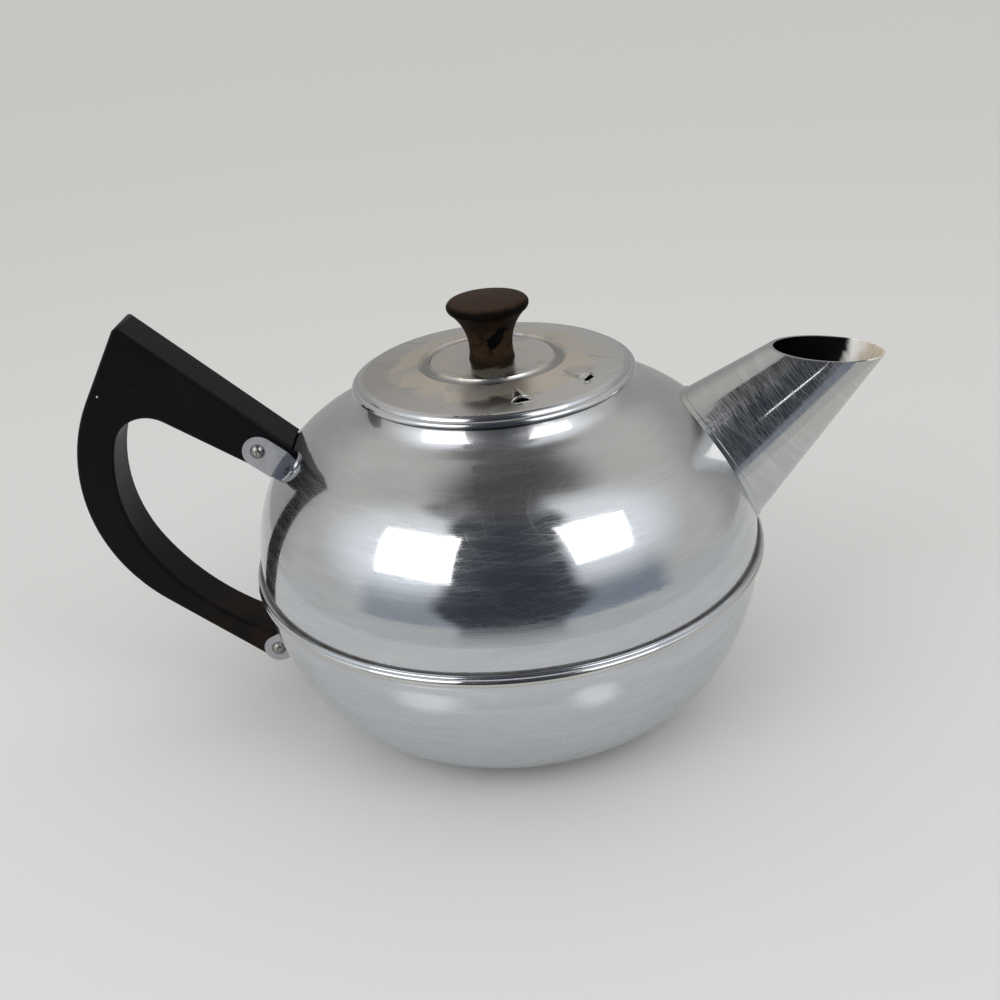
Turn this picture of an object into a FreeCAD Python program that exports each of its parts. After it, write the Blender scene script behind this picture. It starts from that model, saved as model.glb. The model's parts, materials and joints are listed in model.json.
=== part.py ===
"""A chromed teapot with a moulded handle, as a parametric document. Units are millimetres.

The pot's axis is Z, its flat base lies on Z = 0, the spout points along +X and the handle along -X.
Distances out from the axis are radii. The handle and its fittings are drawn outwards along +X and then
turned half round the pot.
"""

import FreeCAD
import Part
import Sketcher
import math
import os
import re

# Driving dimensions, in millimetres and degrees
SIZES = {
    # Pot body
    "body_radius": 76.1,
    "seam_height": 50.8,
    "sheet": 0.8,
    "side_arc": 77.7,
    "side_angle": 11.1,
    "shoulder_arc": 42.1,
    "shoulder_angle": 59.4,
    "crown_arc": 69.8,
    "neck_radius": 39.5,
    "flare_arc": 10.0,
    "flare_angle": 15.0,
    "neck_length": 0.1,
    # Lower bowl and rolled seam
    "bowl_drop": 1.95,
    "bowl_arc": 60.0,
    "base_arc": 37.1,
    "bead_radius": 1.9,
    "flange_width": 1.0,
    "flange_thickness": 0.6,
    # Spout, placed by the start of the lowest line of its cone, inside the pot and below the seam
    "spout_angle": 40.1,
    "spout_foot_inset": 9.1,
    "spout_foot_drop": 7.22,
    "spout_radius": 25.9,
    "spout_taper": 0.223,
    "spout_length": 64.7,
    "spout_wall": 0.7,
    "mouth_tilt": 6.2,
    "collar_width": 0.45,
    "collar_height": 1.2,
    "collar_sweep": 150.0,
    # Strainer punched behind the spout
    "strainer_angle": 27.0,
    "strainer_inset": 6.5,
    "strainer_lift": 22.0,
    "strainer_hole": 4.0,
    "strainer_pitch": 7.0,
    # Handle, whose outline is measured out from the pot's side and up from its seam
    "handle_thickness": 15.0,
    "handle_edge": 1.2,
    "handle_gap": 0.4,
    "arm_tuck": 1.0,
    "top_rise": 79.9,
    "back_angle": 31.0,
    "back_arc": 56.0,
    "bow_reach": 50.9,
    "bow_rise": 28.6,
    "bow_arc": 50.0,
    "grip_width": 11.1,
    "inner_bow_rise": 28.7,
    "inner_bow_arc": 46.5,
    "inner_bow_end": 30.0,
    "crook_arc": 10.5,
    "crook_angle": 19.5,
    "arm_above": 6.5,
    "arm_below": 4.8,
    "end_radius": 5.0,
    # Handle brackets
    "upper_seat_angle": 40.2,
    "lower_seat_angle": -25.0,
    "bracket_sheet": 0.7,
    "bracket_width": 10.0,
    "foot_length": 15.5,
    "foot_lean": 31.0,
    "upper_screw_out": 7.4,
    "lower_screw_out": 6.5,
    "upper_leg": 11.9,
    "lower_leg": 11.1,
    "lower_bracket_width": 9.2,
    # Handle screws and nuts
    "screw_radius": 1.2,
    "screw_clearance": 0.15,
    "screw_head_radius": 2.0,
    "screw_head_height": 1.3,
    "screw_slot_width": 0.5,
    "screw_slot_depth": 0.6,
    "nut_width": 5.0,
    "nut_height": 2.0,
    "screw_end": 1.0,
    "thread_fit": 0.05,
    # Lid
    "lid_overhang": 1.85,
    "lid_sheet": 0.6,
    "lid_seat_gap": 0.2,
    "lid_clearance": 0.45,
    "skirt_depth": 9.0,
    "skirt_sheet": 0.6,
    "rim_lip": 1.2,
    "rim_width": 1.7,
    "rim_height": 1.47,
    "rim_round": 1.26,
    "brow_inset": 3.3,
    "brow_rise": 2.77,
    "brow_round": 2.0,
    "annulus_rise": 4.7,
    "groove_outer": 21.6,
    "groove_inner": 17.9,
    "groove_arc": 2.1,
    "plateau_rise": 5.0,
    # Lanced steam vents
    "vent_radius": 33.0,
    "front_vent_angle": -74.8,
    "side_vent_angle": -34.5,
    "vent_length": 9.0,
    "vent_mouth": 3.6,
    "vent_sink": 1.95,
    "vent_sweep": 132.0,
    # Knob and its fixing
    "knob_base": 6.7,
    "knob_radius": 11.85,
    "knob_height": 18.1,
    "knob_edge": 1.9,
    "knob_flare": 15.0,
    "knob_crown": 0.5,
    "insert_radius": 3.4,
    "insert_length": 9.5,
    "knob_screw_radius": 1.95,
    "knob_screw_depth": 8.0,
    "knob_head_radius": 3.6,
    "knob_head_height": 2.0,
    "washer_radius": 5.5,
    "washer_thickness": 0.8,
}

FULL_TURN = 360
HALF_TURN = 180
FAR = "200"

doc = FreeCAD.newDocument("teapot")
sheet = doc.addObject("Spreadsheet::Sheet", "Sizes")
for row, (alias, number) in enumerate(SIZES.items(), start=1):
    sheet.set(f"A{row}", alias)
    sheet.set(f"B{row}", str(number))
    sheet.setAlias(f"B{row}", alias)
doc.recompute()


def formula(text):
    """An expression on the sheet, from one that names the sizes alone."""
    return re.sub(r"[a-z_]+", lambda word: f"Sizes.{word[0]}" if word[0] in SIZES else word[0], text)


def value(text):
    """The number that an expression on the sizes has now."""
    number = sheet.evalExpression(formula(text))
    return float(getattr(number, "Value", number))


def make_body(label):
    """An empty body that stands for one piece of the teapot."""
    body = doc.addObject("PartDesign::Body", label)
    body.Label = label
    return body


def make_sketch(body, name, role="XZ_Plane"):
    """A sketch on one of a body's own origin planes."""
    plane = next(feature for feature in body.Origin.OriginFeatures if feature.Role == role)
    sketch = body.newObject("Sketcher::SketchObject", name)
    sketch.AttachmentSupport = (plane, [""])
    sketch.MapMode = "FlatFace"
    return sketch


def shift_sketch(sketch, text):
    """Moves a sketch along its own normal."""
    sketch.setExpression("AttachmentOffset.Base.z", formula(text))


def turn_sketch(sketch, text):
    """Turns an upright sketch about the pot's axis."""
    rotation = FreeCAD.Rotation(FreeCAD.Vector(0, 1, 0), 1)
    sketch.AttachmentOffset = FreeCAD.Placement(FreeCAD.Vector(), rotation)
    sketch.setExpression("AttachmentOffset.Rotation.Angle", formula(text))


def tip_sketch(sketch, out, up, angle):
    """Sets a sketch off the YZ plane out and up beside the pot, and tips it back to face upwards."""
    rotation = FreeCAD.Rotation(FreeCAD.Vector(1, 0, 0), 1)
    sketch.AttachmentOffset = FreeCAD.Placement(FreeCAD.Vector(), rotation)
    sketch.setExpression("AttachmentOffset.Rotation.Angle", formula(f"0 - ({angle})"))
    sketch.setExpression("AttachmentOffset.Base.y", formula(up))
    sketch.setExpression("AttachmentOffset.Base.z", formula(out))


def arc_between(start, end, radius, turns_left):
    """The shorter arc of a radius from one point to another, turning left or right on its way."""
    first = FreeCAD.Vector(*start, 0)
    last = FreeCAD.Vector(*end, 0)
    chord = last - first
    rise = math.sqrt(max(radius**2 - chord.Length**2 / 4, 0))
    left = FreeCAD.Vector(-chord.y, chord.x, 0).normalize()
    centre = (first + last) / 2 + left * (rise if turns_left else -rise)
    circle = Part.Circle(centre, FreeCAD.Vector(0, 0, 1), radius)
    ends = (first, last) if turns_left else (last, first)
    angles = [math.atan2(point.y - centre.y, point.x - centre.x) for point in ends]
    return Part.ArcOfCircle(circle, *angles)


def fix_point(sketch, geometry, end, point):
    """Ties one end of a line or arc to the place that two expressions give."""
    for kind, axis, text in (("DistanceX", -2, point[0]), ("DistanceY", -1, point[1])):
        if text == "0":
            sketch.addConstraint(Sketcher.Constraint("PointOnObject", geometry, end, axis))
            continue
        index = sketch.addConstraint(Sketcher.Constraint(kind, -1, 1, geometry, end, value(text)))
        sketch.setExpression(f"Constraints[{index}]", formula(text))


def draw_outline(sketch, points, arcs=None):
    """Draws a closed outline through points.

    arcs gives, for the number of a point, the radius of the arc that leaves it and whether it turns left.
    """
    arcs = arcs or {}
    places = [(value(x), value(y)) for x, y in points]
    pieces = []
    for number, start in enumerate(places):
        end = places[(number + 1) % len(places)]
        if number in arcs:
            radius, turns_left = arcs[number]
            index = sketch.addGeometry(arc_between(start, end, value(radius), turns_left))
            pieces.append((index, 1, 2) if turns_left else (index, 2, 1))
        else:
            line = Part.LineSegment(FreeCAD.Vector(*start, 0), FreeCAD.Vector(*end, 0))
            pieces.append((sketch.addGeometry(line), 1, 2))
    for number, (geometry, start, end) in enumerate(pieces):
        following, following_start, _ = pieces[(number + 1) % len(pieces)]
        sketch.addConstraint(Sketcher.Constraint("Coincident", geometry, end, following, following_start))
        fix_point(sketch, geometry, start, points[number])
        if number in arcs:
            radius = arcs[number][0]
            index = sketch.addConstraint(Sketcher.Constraint("Radius", geometry, value(radius)))
            sketch.setExpression(f"Constraints[{index}]", formula(radius))


def draw_circle(sketch, centre, radius):
    """Draws a circle at a place that two expressions give."""
    middle = FreeCAD.Vector(value(centre[0]), value(centre[1]), 0)
    index = sketch.addGeometry(Part.Circle(middle, FreeCAD.Vector(0, 0, 1), value(radius)))
    fix_point(sketch, index, 3, centre)
    constraint = sketch.addConstraint(Sketcher.Constraint("Radius", index, value(radius)))
    sketch.setExpression(f"Constraints[{constraint}]", formula(radius))


def draw_axis(sketch, start, end):
    """Draws a construction line to turn about."""
    ends = [FreeCAD.Vector(value(x), value(y), 0) for x, y in (start, end)]
    index = sketch.addGeometry(Part.LineSegment(*ends), True)
    fix_point(sketch, index, 1, start)
    fix_point(sketch, index, 2, end)


def turn(body, kind, sketch, axis="V_Axis", angle=str(FULL_TURN)):
    """Adds or cuts what a sketch sweeps as it turns about an axis, evenly to both sides."""
    feature = body.newObject(f"PartDesign::{kind}", f"{sketch.Name}_{kind.lower()}")
    feature.Profile = sketch
    feature.ReferenceAxis = (sketch, [axis])
    feature.Midplane = angle != str(FULL_TURN)
    feature.setExpression("Angle", formula(angle))
    return feature


def pad(body, sketch, length, midplane=False):
    """Adds what a sketch sweeps along its normal."""
    feature = body.newObject("PartDesign::Pad", f"{sketch.Name}_pad")
    feature.Profile = sketch
    feature.Midplane = midplane
    feature.setExpression("Length", formula(length))
    return feature


def pocket(body, sketch, length):
    """Cuts what a sketch sweeps along its normal, evenly to both sides of it."""
    feature = body.newObject("PartDesign::Pocket", f"{sketch.Name}_pocket")
    feature.Profile = sketch
    feature.Midplane = True
    feature.setExpression("Length", formula(length))
    return feature


def place(body, x="0", y="0", z="0", axis=(0, 0, 1), angle=0):
    """Gives a body its place, with the place bound to the sheet."""
    body.Placement = FreeCAD.Placement(FreeCAD.Vector(), FreeCAD.Rotation(FreeCAD.Vector(*axis), angle))
    for name, text in (("x", x), ("y", y), ("z", z)):
        body.setExpression(f"Placement.Base.{name}", formula(text))


# The pot's outline is a chain of arcs: side, shoulder, crown and the hollow flare below the neck.
# Each centre is found from the one before it, so that the arcs run on smoothly.
SIDE_CENTRE = ("(body_radius - side_arc)", "seam_height")
SHOULDER_CENTRE = (
    f"({SIDE_CENTRE[0]} + (side_arc - shoulder_arc) * cos(side_angle))",
    f"({SIDE_CENTRE[1]} + (side_arc - shoulder_arc) * sin(side_angle))",
)
CROWN_CENTRE = (
    f"({SHOULDER_CENTRE[0]} - (crown_arc - shoulder_arc) * cos(shoulder_angle))",
    f"({SHOULDER_CENTRE[1]} - (crown_arc - shoulder_arc) * sin(shoulder_angle))",
)
FLARE_REACH = "(flare_arc * cos(flare_angle))"
NECK_ANGLE = f"acos((neck_radius + {FLARE_REACH} - {CROWN_CENTRE[0]}) / (crown_arc + flare_arc))"
FLARE_HEIGHT = f"({CROWN_CENTRE[1]} + (crown_arc + flare_arc) * sin({NECK_ANGLE}))"
NECK_TOP = f"({FLARE_HEIGHT} - flare_arc * sin(flare_angle) + neck_length)"
BOWL_TOP = "(seam_height - bowl_drop)"
BOWL_CENTRE = ("(body_radius - bowl_arc)", BOWL_TOP)
BOWL_ANGLE = f"asin(({BOWL_TOP} - base_arc) / (bowl_arc - base_arc))"
BASE_FLAT = f"({BOWL_CENTRE[0]} + (bowl_arc - base_arc) * cos({BOWL_ANGLE}))"
FLANGE_FOOT = "(seam_height - flange_thickness)"


def on_arc(centre, radius, angle):
    """A point of an arc, at an angle up from the outward direction."""
    return f"{centre[0]} + ({radius}) * cos({angle})", f"{centre[1]} + ({radius}) * sin({angle})"


def crown_line(offset):
    """The pot's outline from the seam to where the crown meets the flare, moved out by an offset."""
    points = [
        (f"body_radius + {offset}", "seam_height"),
        on_arc(SIDE_CENTRE, f"side_arc + {offset}", "side_angle"),
        on_arc(SHOULDER_CENTRE, f"shoulder_arc + {offset}", "shoulder_angle"),
        on_arc(CROWN_CENTRE, f"crown_arc + {offset}", NECK_ANGLE),
    ]
    radii = [f"side_arc + {offset}", f"shoulder_arc + {offset}", f"crown_arc + {offset}"]
    return points, radii


def neck_line(offset):
    """The foot of the neck, where the flare ends, and its top, moved out by an offset."""
    foot = f"{FLARE_HEIGHT} - sqrt((flare_arc - {offset})^2 - ({FLARE_REACH} - {offset})^2)"
    return [(f"neck_radius + {offset}", foot), (f"neck_radius + {offset}", NECK_TOP)]


def bowl_line(offset):
    """The lower bowl's outline from its top edge to its flat base, moved out by an offset."""
    points = [
        (f"body_radius + {offset}", BOWL_TOP),
        on_arc(BOWL_CENTRE, f"bowl_arc + {offset}", f"-{BOWL_ANGLE}"),
        (BASE_FLAT, f"0 - ({offset})" if offset != "0" else "0"),
    ]
    return points, [f"bowl_arc + {offset}", f"base_arc + {offset}"]


def make_upper_shell():
    """The pot's upper half: shoulder, neck and seam flange, with a strainer punched behind the spout."""
    body = make_body("upper_shell")
    outer, outer_radii = crown_line("0")
    inner, inner_radii = crown_line("(0 - sheet)")
    sketch = make_sketch(body, "upper_shell_profile")
    points = outer + neck_line("0")
    arcs = {number: (radius, True) for number, radius in enumerate(outer_radii)}
    arcs[len(outer) - 1] = ("flare_arc", False)
    first_inner = len(points)
    points += neck_line("(0 - sheet)")[::-1] + inner[::-1]
    arcs[first_inner + 1] = ("flare_arc + sheet", True)
    for number, radius in enumerate(inner_radii[::-1]):
        arcs[first_inner + 2 + number] = (radius, False)
    points[-1] = ("body_radius - sheet", "seam_height")
    points += [
        ("body_radius - sheet", FLANGE_FOOT),
        ("body_radius + flange_width", FLANGE_FOOT),
        ("body_radius + flange_width", "seam_height"),
    ]
    draw_outline(sketch, points, arcs)
    turn(body, "Revolution", sketch)
    doc.recompute()
    punch_strainer(body)
    return body


def punch_strainer(body):
    """Punches rows of round holes, square to the shell, where the spout covers it."""
    sketch = make_sketch(body, "strainer_holes", "YZ_Plane")
    rows = range(-2, 3)
    for row in rows:
        columns = 5 - abs(row)
        for column in range(columns):
            across = f"strainer_pitch * {column - (columns - 1) / 2}"
            up = f"strainer_pitch * {row} * cos(30)"
            draw_circle(sketch, (across if column * 2 != columns - 1 else "0", up if row else "0"),
                        "strainer_hole / 2")
    tip_sketch(sketch, "body_radius - strainer_inset", "seam_height + strainer_lift", "strainer_angle")
    pocket(body, sketch, "strainer_inset * 4")


def make_lower_shell():
    """The pot's lower bowl, whose rim is rolled over the upper half's flange as the seam bead."""
    body = make_body("lower_shell")
    outer, outer_radii = bowl_line("0")
    inner, inner_radii = bowl_line("(0 - sheet)")
    sketch = make_sketch(body, "lower_shell_profile")
    points = [("0", "0")] + outer[::-1]
    arcs = {1: (outer_radii[1], True), 2: (outer_radii[0], True)}
    bead = len(points)
    points += [
        ("body_radius", "seam_height - bead_radius"),
        ("body_radius + bead_radius", "seam_height"),
        ("body_radius", "seam_height + bead_radius"),
        ("body_radius", "seam_height"),
        ("body_radius + flange_width", "seam_height"),
        ("body_radius + flange_width", FLANGE_FOOT),
        ("body_radius - sheet", FLANGE_FOOT),
    ]
    arcs[bead] = ("bead_radius", True)
    arcs[bead + 1] = ("bead_radius", True)
    first_inner = len(points)
    points += inner + [("0", "sheet")]
    arcs[first_inner] = (inner_radii[0], False)
    arcs[first_inner + 1] = (inner_radii[1], False)
    draw_outline(sketch, points, arcs)
    turn(body, "Revolution", sketch)
    return body


SPOUT_START = (
    "(body_radius - spout_foot_inset - spout_radius * sin(spout_angle))",
    "(seam_height - spout_foot_drop + spout_radius * cos(spout_angle))",
)


def on_spout(along, out):
    """A point in the spout's upright plane, along its axis and square to it."""
    return (
        f"{SPOUT_START[0]} + ({along}) * cos(spout_angle) - ({out}) * sin(spout_angle)",
        f"{SPOUT_START[1]} + ({along}) * sin(spout_angle) + ({out}) * cos(spout_angle)",
    )


def spout_edge(along, offset):
    """A point of the spout's side, moved out by an offset."""
    return on_spout(along, f"spout_radius - spout_taper * ({along}) + {offset}")


def make_spout():
    """The spout: a sheet cone that stands on the pot by a narrow flange, with a slanting mouth."""
    body = make_body("spout")
    surface, surface_radii = crown_line("0")
    raised, raised_radii = crown_line("collar_height")
    long_end = "spout_length * 1.5"

    band = make_sketch(body, "collar_band")
    arcs = {number: (radius, True) for number, radius in enumerate(raised_radii)}
    for number, radius in enumerate(surface_radii[::-1]):
        arcs[len(raised) + number] = (radius, False)
    draw_outline(band, raised + surface[::-1], arcs)
    turn(body, "Revolution", band, angle="collar_sweep")

    around = make_sketch(body, "collar_trim")
    near_end = "0 - body_radius"
    draw_axis(around, on_spout("0", "0"), on_spout(long_end, "0"))
    draw_outline(around, [
        spout_edge(near_end, "collar_width"),
        spout_edge(long_end, "collar_width"),
        on_spout(long_end, FAR),
        on_spout(near_end, FAR),
    ])
    turn(body, "Groove", around, "Axis0")

    cone = make_sketch(body, "spout_cone")
    draw_axis(cone, on_spout("0", "0"), on_spout(long_end, "0"))
    draw_outline(cone, [
        on_spout("0", "0"),
        spout_edge("0", "0"),
        spout_edge(long_end, "0"),
        on_spout(long_end, "0"),
    ])
    turn(body, "Revolution", cone, "Axis0")

    pot = make_sketch(body, "pot_trim")
    arcs = {number: (radius, True) for number, radius in enumerate(surface_radii)}
    draw_outline(pot, surface + [("0", surface[-1][1]), ("0", "0"), ("body_radius", "0")], arcs)
    turn(body, "Groove", pot)

    bore = make_sketch(body, "spout_bore")
    draw_axis(bore, on_spout("0", "0"), on_spout(long_end, "0"))
    draw_outline(bore, [
        on_spout("0", "0"),
        spout_edge("0", "(0 - spout_wall)"),
        spout_edge(long_end, "(0 - spout_wall)"),
        on_spout(long_end, "0"),
    ])
    turn(body, "Groove", bore, "Axis0")

    mouth = make_sketch(body, "spout_mouth")
    centre = on_spout("spout_length", "0")
    side = "spout_length * 2"
    draw_outline(mouth, [
        (f"{centre[0]} - {side}", f"{centre[1]} + {side} * tan(mouth_tilt)"),
        (f"{centre[0]} + {side}", f"{centre[1]} - {side} * tan(mouth_tilt)"),
        (f"{centre[0]} + {side}", f"{centre[1]} + {side}"),
        (f"{centre[0]} - {side}", f"{centre[1]} + {side}"),
    ])
    pocket(body, mouth, side)
    return body


UPPER_SEAT = (SHOULDER_CENTRE, "shoulder_arc", "upper_seat_angle")
# The lower seat lies on the bowl's arc, or on the arc below it where that one is short
SEAT_ON_BOWL = f"0 - lower_seat_angle < {BOWL_ANGLE} / 1 deg"
LOWER_SEAT_CENTRE = (
    f"({SEAT_ON_BOWL} ? {BOWL_CENTRE[0]} : {BASE_FLAT})",
    f"({SEAT_ON_BOWL} ? {BOWL_CENTRE[1]} : base_arc)",
)
LOWER_SEAT = (LOWER_SEAT_CENTRE, f"({SEAT_ON_BOWL} ? bowl_arc : base_arc)", "lower_seat_angle")


def on_seat(seat, out, up):
    """A point beside the pot, out from the place where the handle is fixed and up along the pot."""
    centre, radius, angle = seat
    return (
        f"{centre[0]} + ({radius} + {out}) * cos({angle}) - ({up}) * sin({angle})",
        f"{centre[1]} + ({radius} + {out}) * sin({angle}) + ({up}) * cos({angle})",
    )


UPPER_SCREW = on_seat(UPPER_SEAT, "upper_screw_out", "0")
LOWER_SCREW = on_seat(LOWER_SEAT, "lower_screw_out", "0")


BACK = "(body_radius + bow_reach)"
BACK_CENTRE = (f"({BACK} - back_arc)", "(seam_height + bow_rise)")
BOW_CENTRE = (f"({BACK} - bow_arc)", "(seam_height + bow_rise)")
INNER_BOW_CENTRE = (f"({BACK} - grip_width - inner_bow_arc)", "(seam_height + inner_bow_rise)")
CROOK_CENTRE = (
    f"({INNER_BOW_CENTRE[0]} + (inner_bow_arc - crook_arc) * cos(crook_angle))",
    f"({INNER_BOW_CENTRE[1]} + (inner_bow_arc - crook_arc) * sin(crook_angle))",
)


def apart(start, end):
    """How far one point lies from another, and the direction to it."""
    across = f"({end[0]} - ({start[0]}))"
    up = f"({end[1]} - ({start[1]}))"
    return f"sqrt({across}^2 + {up}^2)", f"atan2({up}; {across})"


def foot_arc():
    """The centre and radius of the arc that runs smoothly from the inner bow into the round end."""
    length, direction = apart(LOWER_SCREW, INNER_BOW_CENTRE)
    both = "(inner_bow_arc + end_radius)"
    leaning = f"{length} * cos({direction} + inner_bow_end * 1 deg)"
    more = f"(({length}^2 - {both}^2) / (2 * ({both} + {leaning})))"
    centre = on_arc(INNER_BOW_CENTRE, f"0 - {more}", "(0 - inner_bow_end)")
    return centre, f"inner_bow_arc + {more}"


def make_handle():
    """The moulded handle: a flat loop cut to the pot's shoulder at one end and rounded at the other."""
    body = make_body("handle")
    sketch = make_sketch(body, "handle_outline")
    arm_corner = on_seat(UPPER_SEAT, "(0 - arm_tuck)", "(0 - arm_below)")
    arm_length, arm_direction = apart(arm_corner, CROOK_CENTRE)
    arm_slope = f"({arm_direction} + asin(crook_arc / {arm_length}))"
    foot_centre, foot_radius = foot_arc()
    end_direction = apart(foot_centre, LOWER_SCREW)[1]
    bow_length, bow_direction = apart(BOW_CENTRE, LOWER_SCREW)
    underside = f"({bow_direction} + acos((bow_arc - end_radius) / {bow_length}))"
    back_start = on_arc(BACK_CENTRE, "back_arc", "back_angle")
    top = "seam_height + top_rise"
    points = [
        (f"{back_start[0]} - ({top} - ({back_start[1]})) * tan(back_angle)", top),
        on_seat(UPPER_SEAT, "(0 - arm_tuck)", "arm_above"),
        arm_corner,
        on_arc(CROOK_CENTRE, "crook_arc", f"{arm_slope} + 90 deg"),
        on_arc(INNER_BOW_CENTRE, "inner_bow_arc", "crook_angle"),
        on_arc(INNER_BOW_CENTRE, "inner_bow_arc", "(0 - inner_bow_end)"),
        on_arc(LOWER_SCREW, "0 - end_radius", end_direction),
        on_arc(LOWER_SCREW, "end_radius", f"({end_direction} + {underside}) / 2 - 90 deg"),
        on_arc(LOWER_SCREW, "end_radius", underside),
        on_arc(BOW_CENTRE, "bow_arc", underside),
        (BACK, BOW_CENTRE[1]),
        back_start,
    ]
    arcs = {
        3: ("crook_arc", False),
        4: ("inner_bow_arc", False),
        5: (foot_radius, False),
        6: ("end_radius", True),
        7: ("end_radius", True),
        9: ("bow_arc", True),
        10: ("back_arc", True),
    }
    draw_outline(sketch, points, arcs)
    slab = pad(body, sketch, "handle_thickness", midplane=True)
    doc.recompute()
    round_edges(body, slab)
    shoulder = make_sketch(body, "shoulder_trim")
    surface, radii = crown_line("handle_gap")
    surface += [("0", surface[-1][1]), ("0", "seam_height")]
    draw_outline(shoulder, surface, {number: (radius, True) for number, radius in enumerate(radii)})
    turn(body, "Groove", shoulder)
    holes = make_sketch(body, "handle_holes")
    for centre in (UPPER_SCREW, LOWER_SCREW):
        draw_circle(holes, centre, "screw_radius + screw_clearance")
    pocket(body, holes, "handle_thickness * 2")
    place(body, angle=HALF_TURN)
    return body


def round_edges(body, slab):
    """Rounds the edges of the handle's two flat sides."""
    sides = [
        f"Face{number}"
        for number, face in enumerate(slab.Shape.Faces, start=1)
        if abs(face.normalAt(0, 0).y) > math.cos(math.radians(1))
    ]
    edges = body.newObject("PartDesign::Fillet", "handle_edges")
    edges.Base = (slab, sides)
    edges.setExpression("Radius", formula("handle_edge"))


def make_bracket(label, seat, near, leg, hole_out, width, lean):
    """A sheet metal tab: a round-ended leg beside the handle and a round-ended foot on the pot."""
    body = make_body(label)
    side = 1 if near else -1
    half = f"{width} / 2"
    root = "handle_thickness / 2"
    centre, radius, angle = seat
    spread = f"(asin({width} / {radius}) / 1 deg)"
    band = make_sketch(body, f"{label}_band")
    draw_outline(band, [
        on_arc(centre, radius, f"{angle} - {spread}"),
        on_arc(centre, f"{radius} + bracket_sheet", f"{angle} - {spread}"),
        on_arc(centre, f"{radius} + bracket_sheet", f"{angle} + {spread}"),
        on_arc(centre, radius, f"{angle} + {spread}"),
    ], {1: (f"{radius} + bracket_sheet", True), 3: (radius, False)})
    seat_point = on_arc(centre, radius, angle)
    sweep = f"asin(({root} + foot_length + {half}) / ({seat_point[0]}))"
    turn_sketch(band, f"{sweep} / 2 * {side}")
    turn(body, "Revolution", band, angle=sweep)

    def on_foot(along, across):
        if lean == "0":
            return f"({root} + {along}) * {side}", across
        return (
            f"({root} + ({along}) * cos({lean}) - ({across}) * sin({lean})) * {side}",
            f"({along}) * sin({lean}) + ({across}) * cos({lean})",
        )

    trim = make_sketch(body, f"{label}_trim", "YZ_Plane")
    tip_sketch(trim, *seat_point, angle)
    below = f"0 - {half}"
    draw_outline(trim, [(f"0 - {FAR}", f"0 - {FAR}"), (FAR, f"0 - {FAR}"), (FAR, FAR), (f"0 - {FAR}", FAR)])
    draw_outline(trim, [
        (f"{root} * {side}", below),
        on_foot(f"(foot_length - {half})", below),
        on_foot("foot_length", "0"),
        on_foot(f"(foot_length - {half})", half),
        (f"{root} * {side}", half),
    ], {1: (half, near), 2: (half, near)})
    pocket(body, trim, FAR)

    shoulder = f"{leg} - {half}"
    inner_end = "(0 - bracket_sheet / 3)"
    outline = make_sketch(body, f"{label}_leg")
    draw_outline(outline, [
        on_seat(seat, inner_end, f"(0 - {half})"),
        on_seat(seat, shoulder, f"(0 - {half})"),
        on_seat(seat, leg, "0"),
        on_seat(seat, shoulder, half),
        on_seat(seat, inner_end, half),
    ], {1: (half, True), 2: (half, True)})
    draw_circle(outline, on_seat(seat, hole_out, "0"), "screw_radius + screw_clearance")
    shift_sketch(outline, f"0 - {root} - bracket_sheet" if near else root)
    pad(body, outline, "bracket_sheet")
    place(body, angle=HALF_TURN)
    return body


def make_screw(label, centre):
    """A round-headed screw across the handle, its head on the near bracket, with a slot for a blade."""
    body = make_body(label)
    grip = "(handle_thickness + bracket_sheet * 2)"
    dome = "(screw_head_radius^2 + screw_head_height^2) / (2 * screw_head_height)"
    profile = make_sketch(body, f"{label}_profile")
    draw_outline(profile, [
        ("0", f"0 - {grip} - nut_height - screw_end"),
        ("screw_radius", f"0 - {grip} - nut_height - screw_end"),
        ("screw_radius", "0"),
        ("screw_head_radius", "0"),
        ("0", "screw_head_height"),
    ], {3: (dome, True)})
    turn(body, "Revolution", profile)
    doc.recompute()
    slot = make_sketch(body, f"{label}_slot")
    half = "screw_slot_width / 2"
    draw_outline(slot, [
        (f"0 - {half}", "screw_head_height - screw_slot_depth"),
        (half, "screw_head_height - screw_slot_depth"),
        (half, "screw_head_height * 2"),
        (f"0 - {half}", "screw_head_height * 2"),
    ])
    pocket(body, slot, "screw_head_radius * 3")
    place(body, f"0 - ({centre[0]})", f"0 - {grip} / 2", centre[1], (1, 0, 0), 90)
    return body


def make_nut(label, centre):
    """The hexagon nut on the far end of a handle screw."""
    body = make_body(label)
    corner = "nut_width / 2 / cos(30)"
    sketch = make_sketch(body, f"{label}_outline", "XY_Plane")
    hexagon = []
    for angle in range(30, FULL_TURN, 60):
        across = f"{corner} * cos({angle})" if angle % 180 != 90 else "0"
        hexagon.append((across, f"{corner} * sin({angle})"))
    draw_outline(sketch, hexagon)
    draw_circle(sketch, ("0", "0"), "screw_radius + thread_fit")
    pad(body, sketch, "nut_height")
    place(body, f"0 - ({centre[0]})", "handle_thickness / 2 + bracket_sheet", centre[1], (1, 0, 0), -90)
    return body


LID_SEAT = f"({NECK_TOP} + lid_seat_gap)"
SKIRT_RADIUS = "(neck_radius - sheet - lid_clearance)"
FLANGE_TOP = f"({LID_SEAT} + skirt_sheet)"
LID_RADIUS = "(neck_radius + lid_overhang)"
RIM_INNER = f"({LID_RADIUS} - rim_lip)"
PLATEAU = f"({LID_SEAT} + plateau_rise)"
KNOB_HOLE = "(knob_screw_radius + screw_clearance)"


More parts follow.
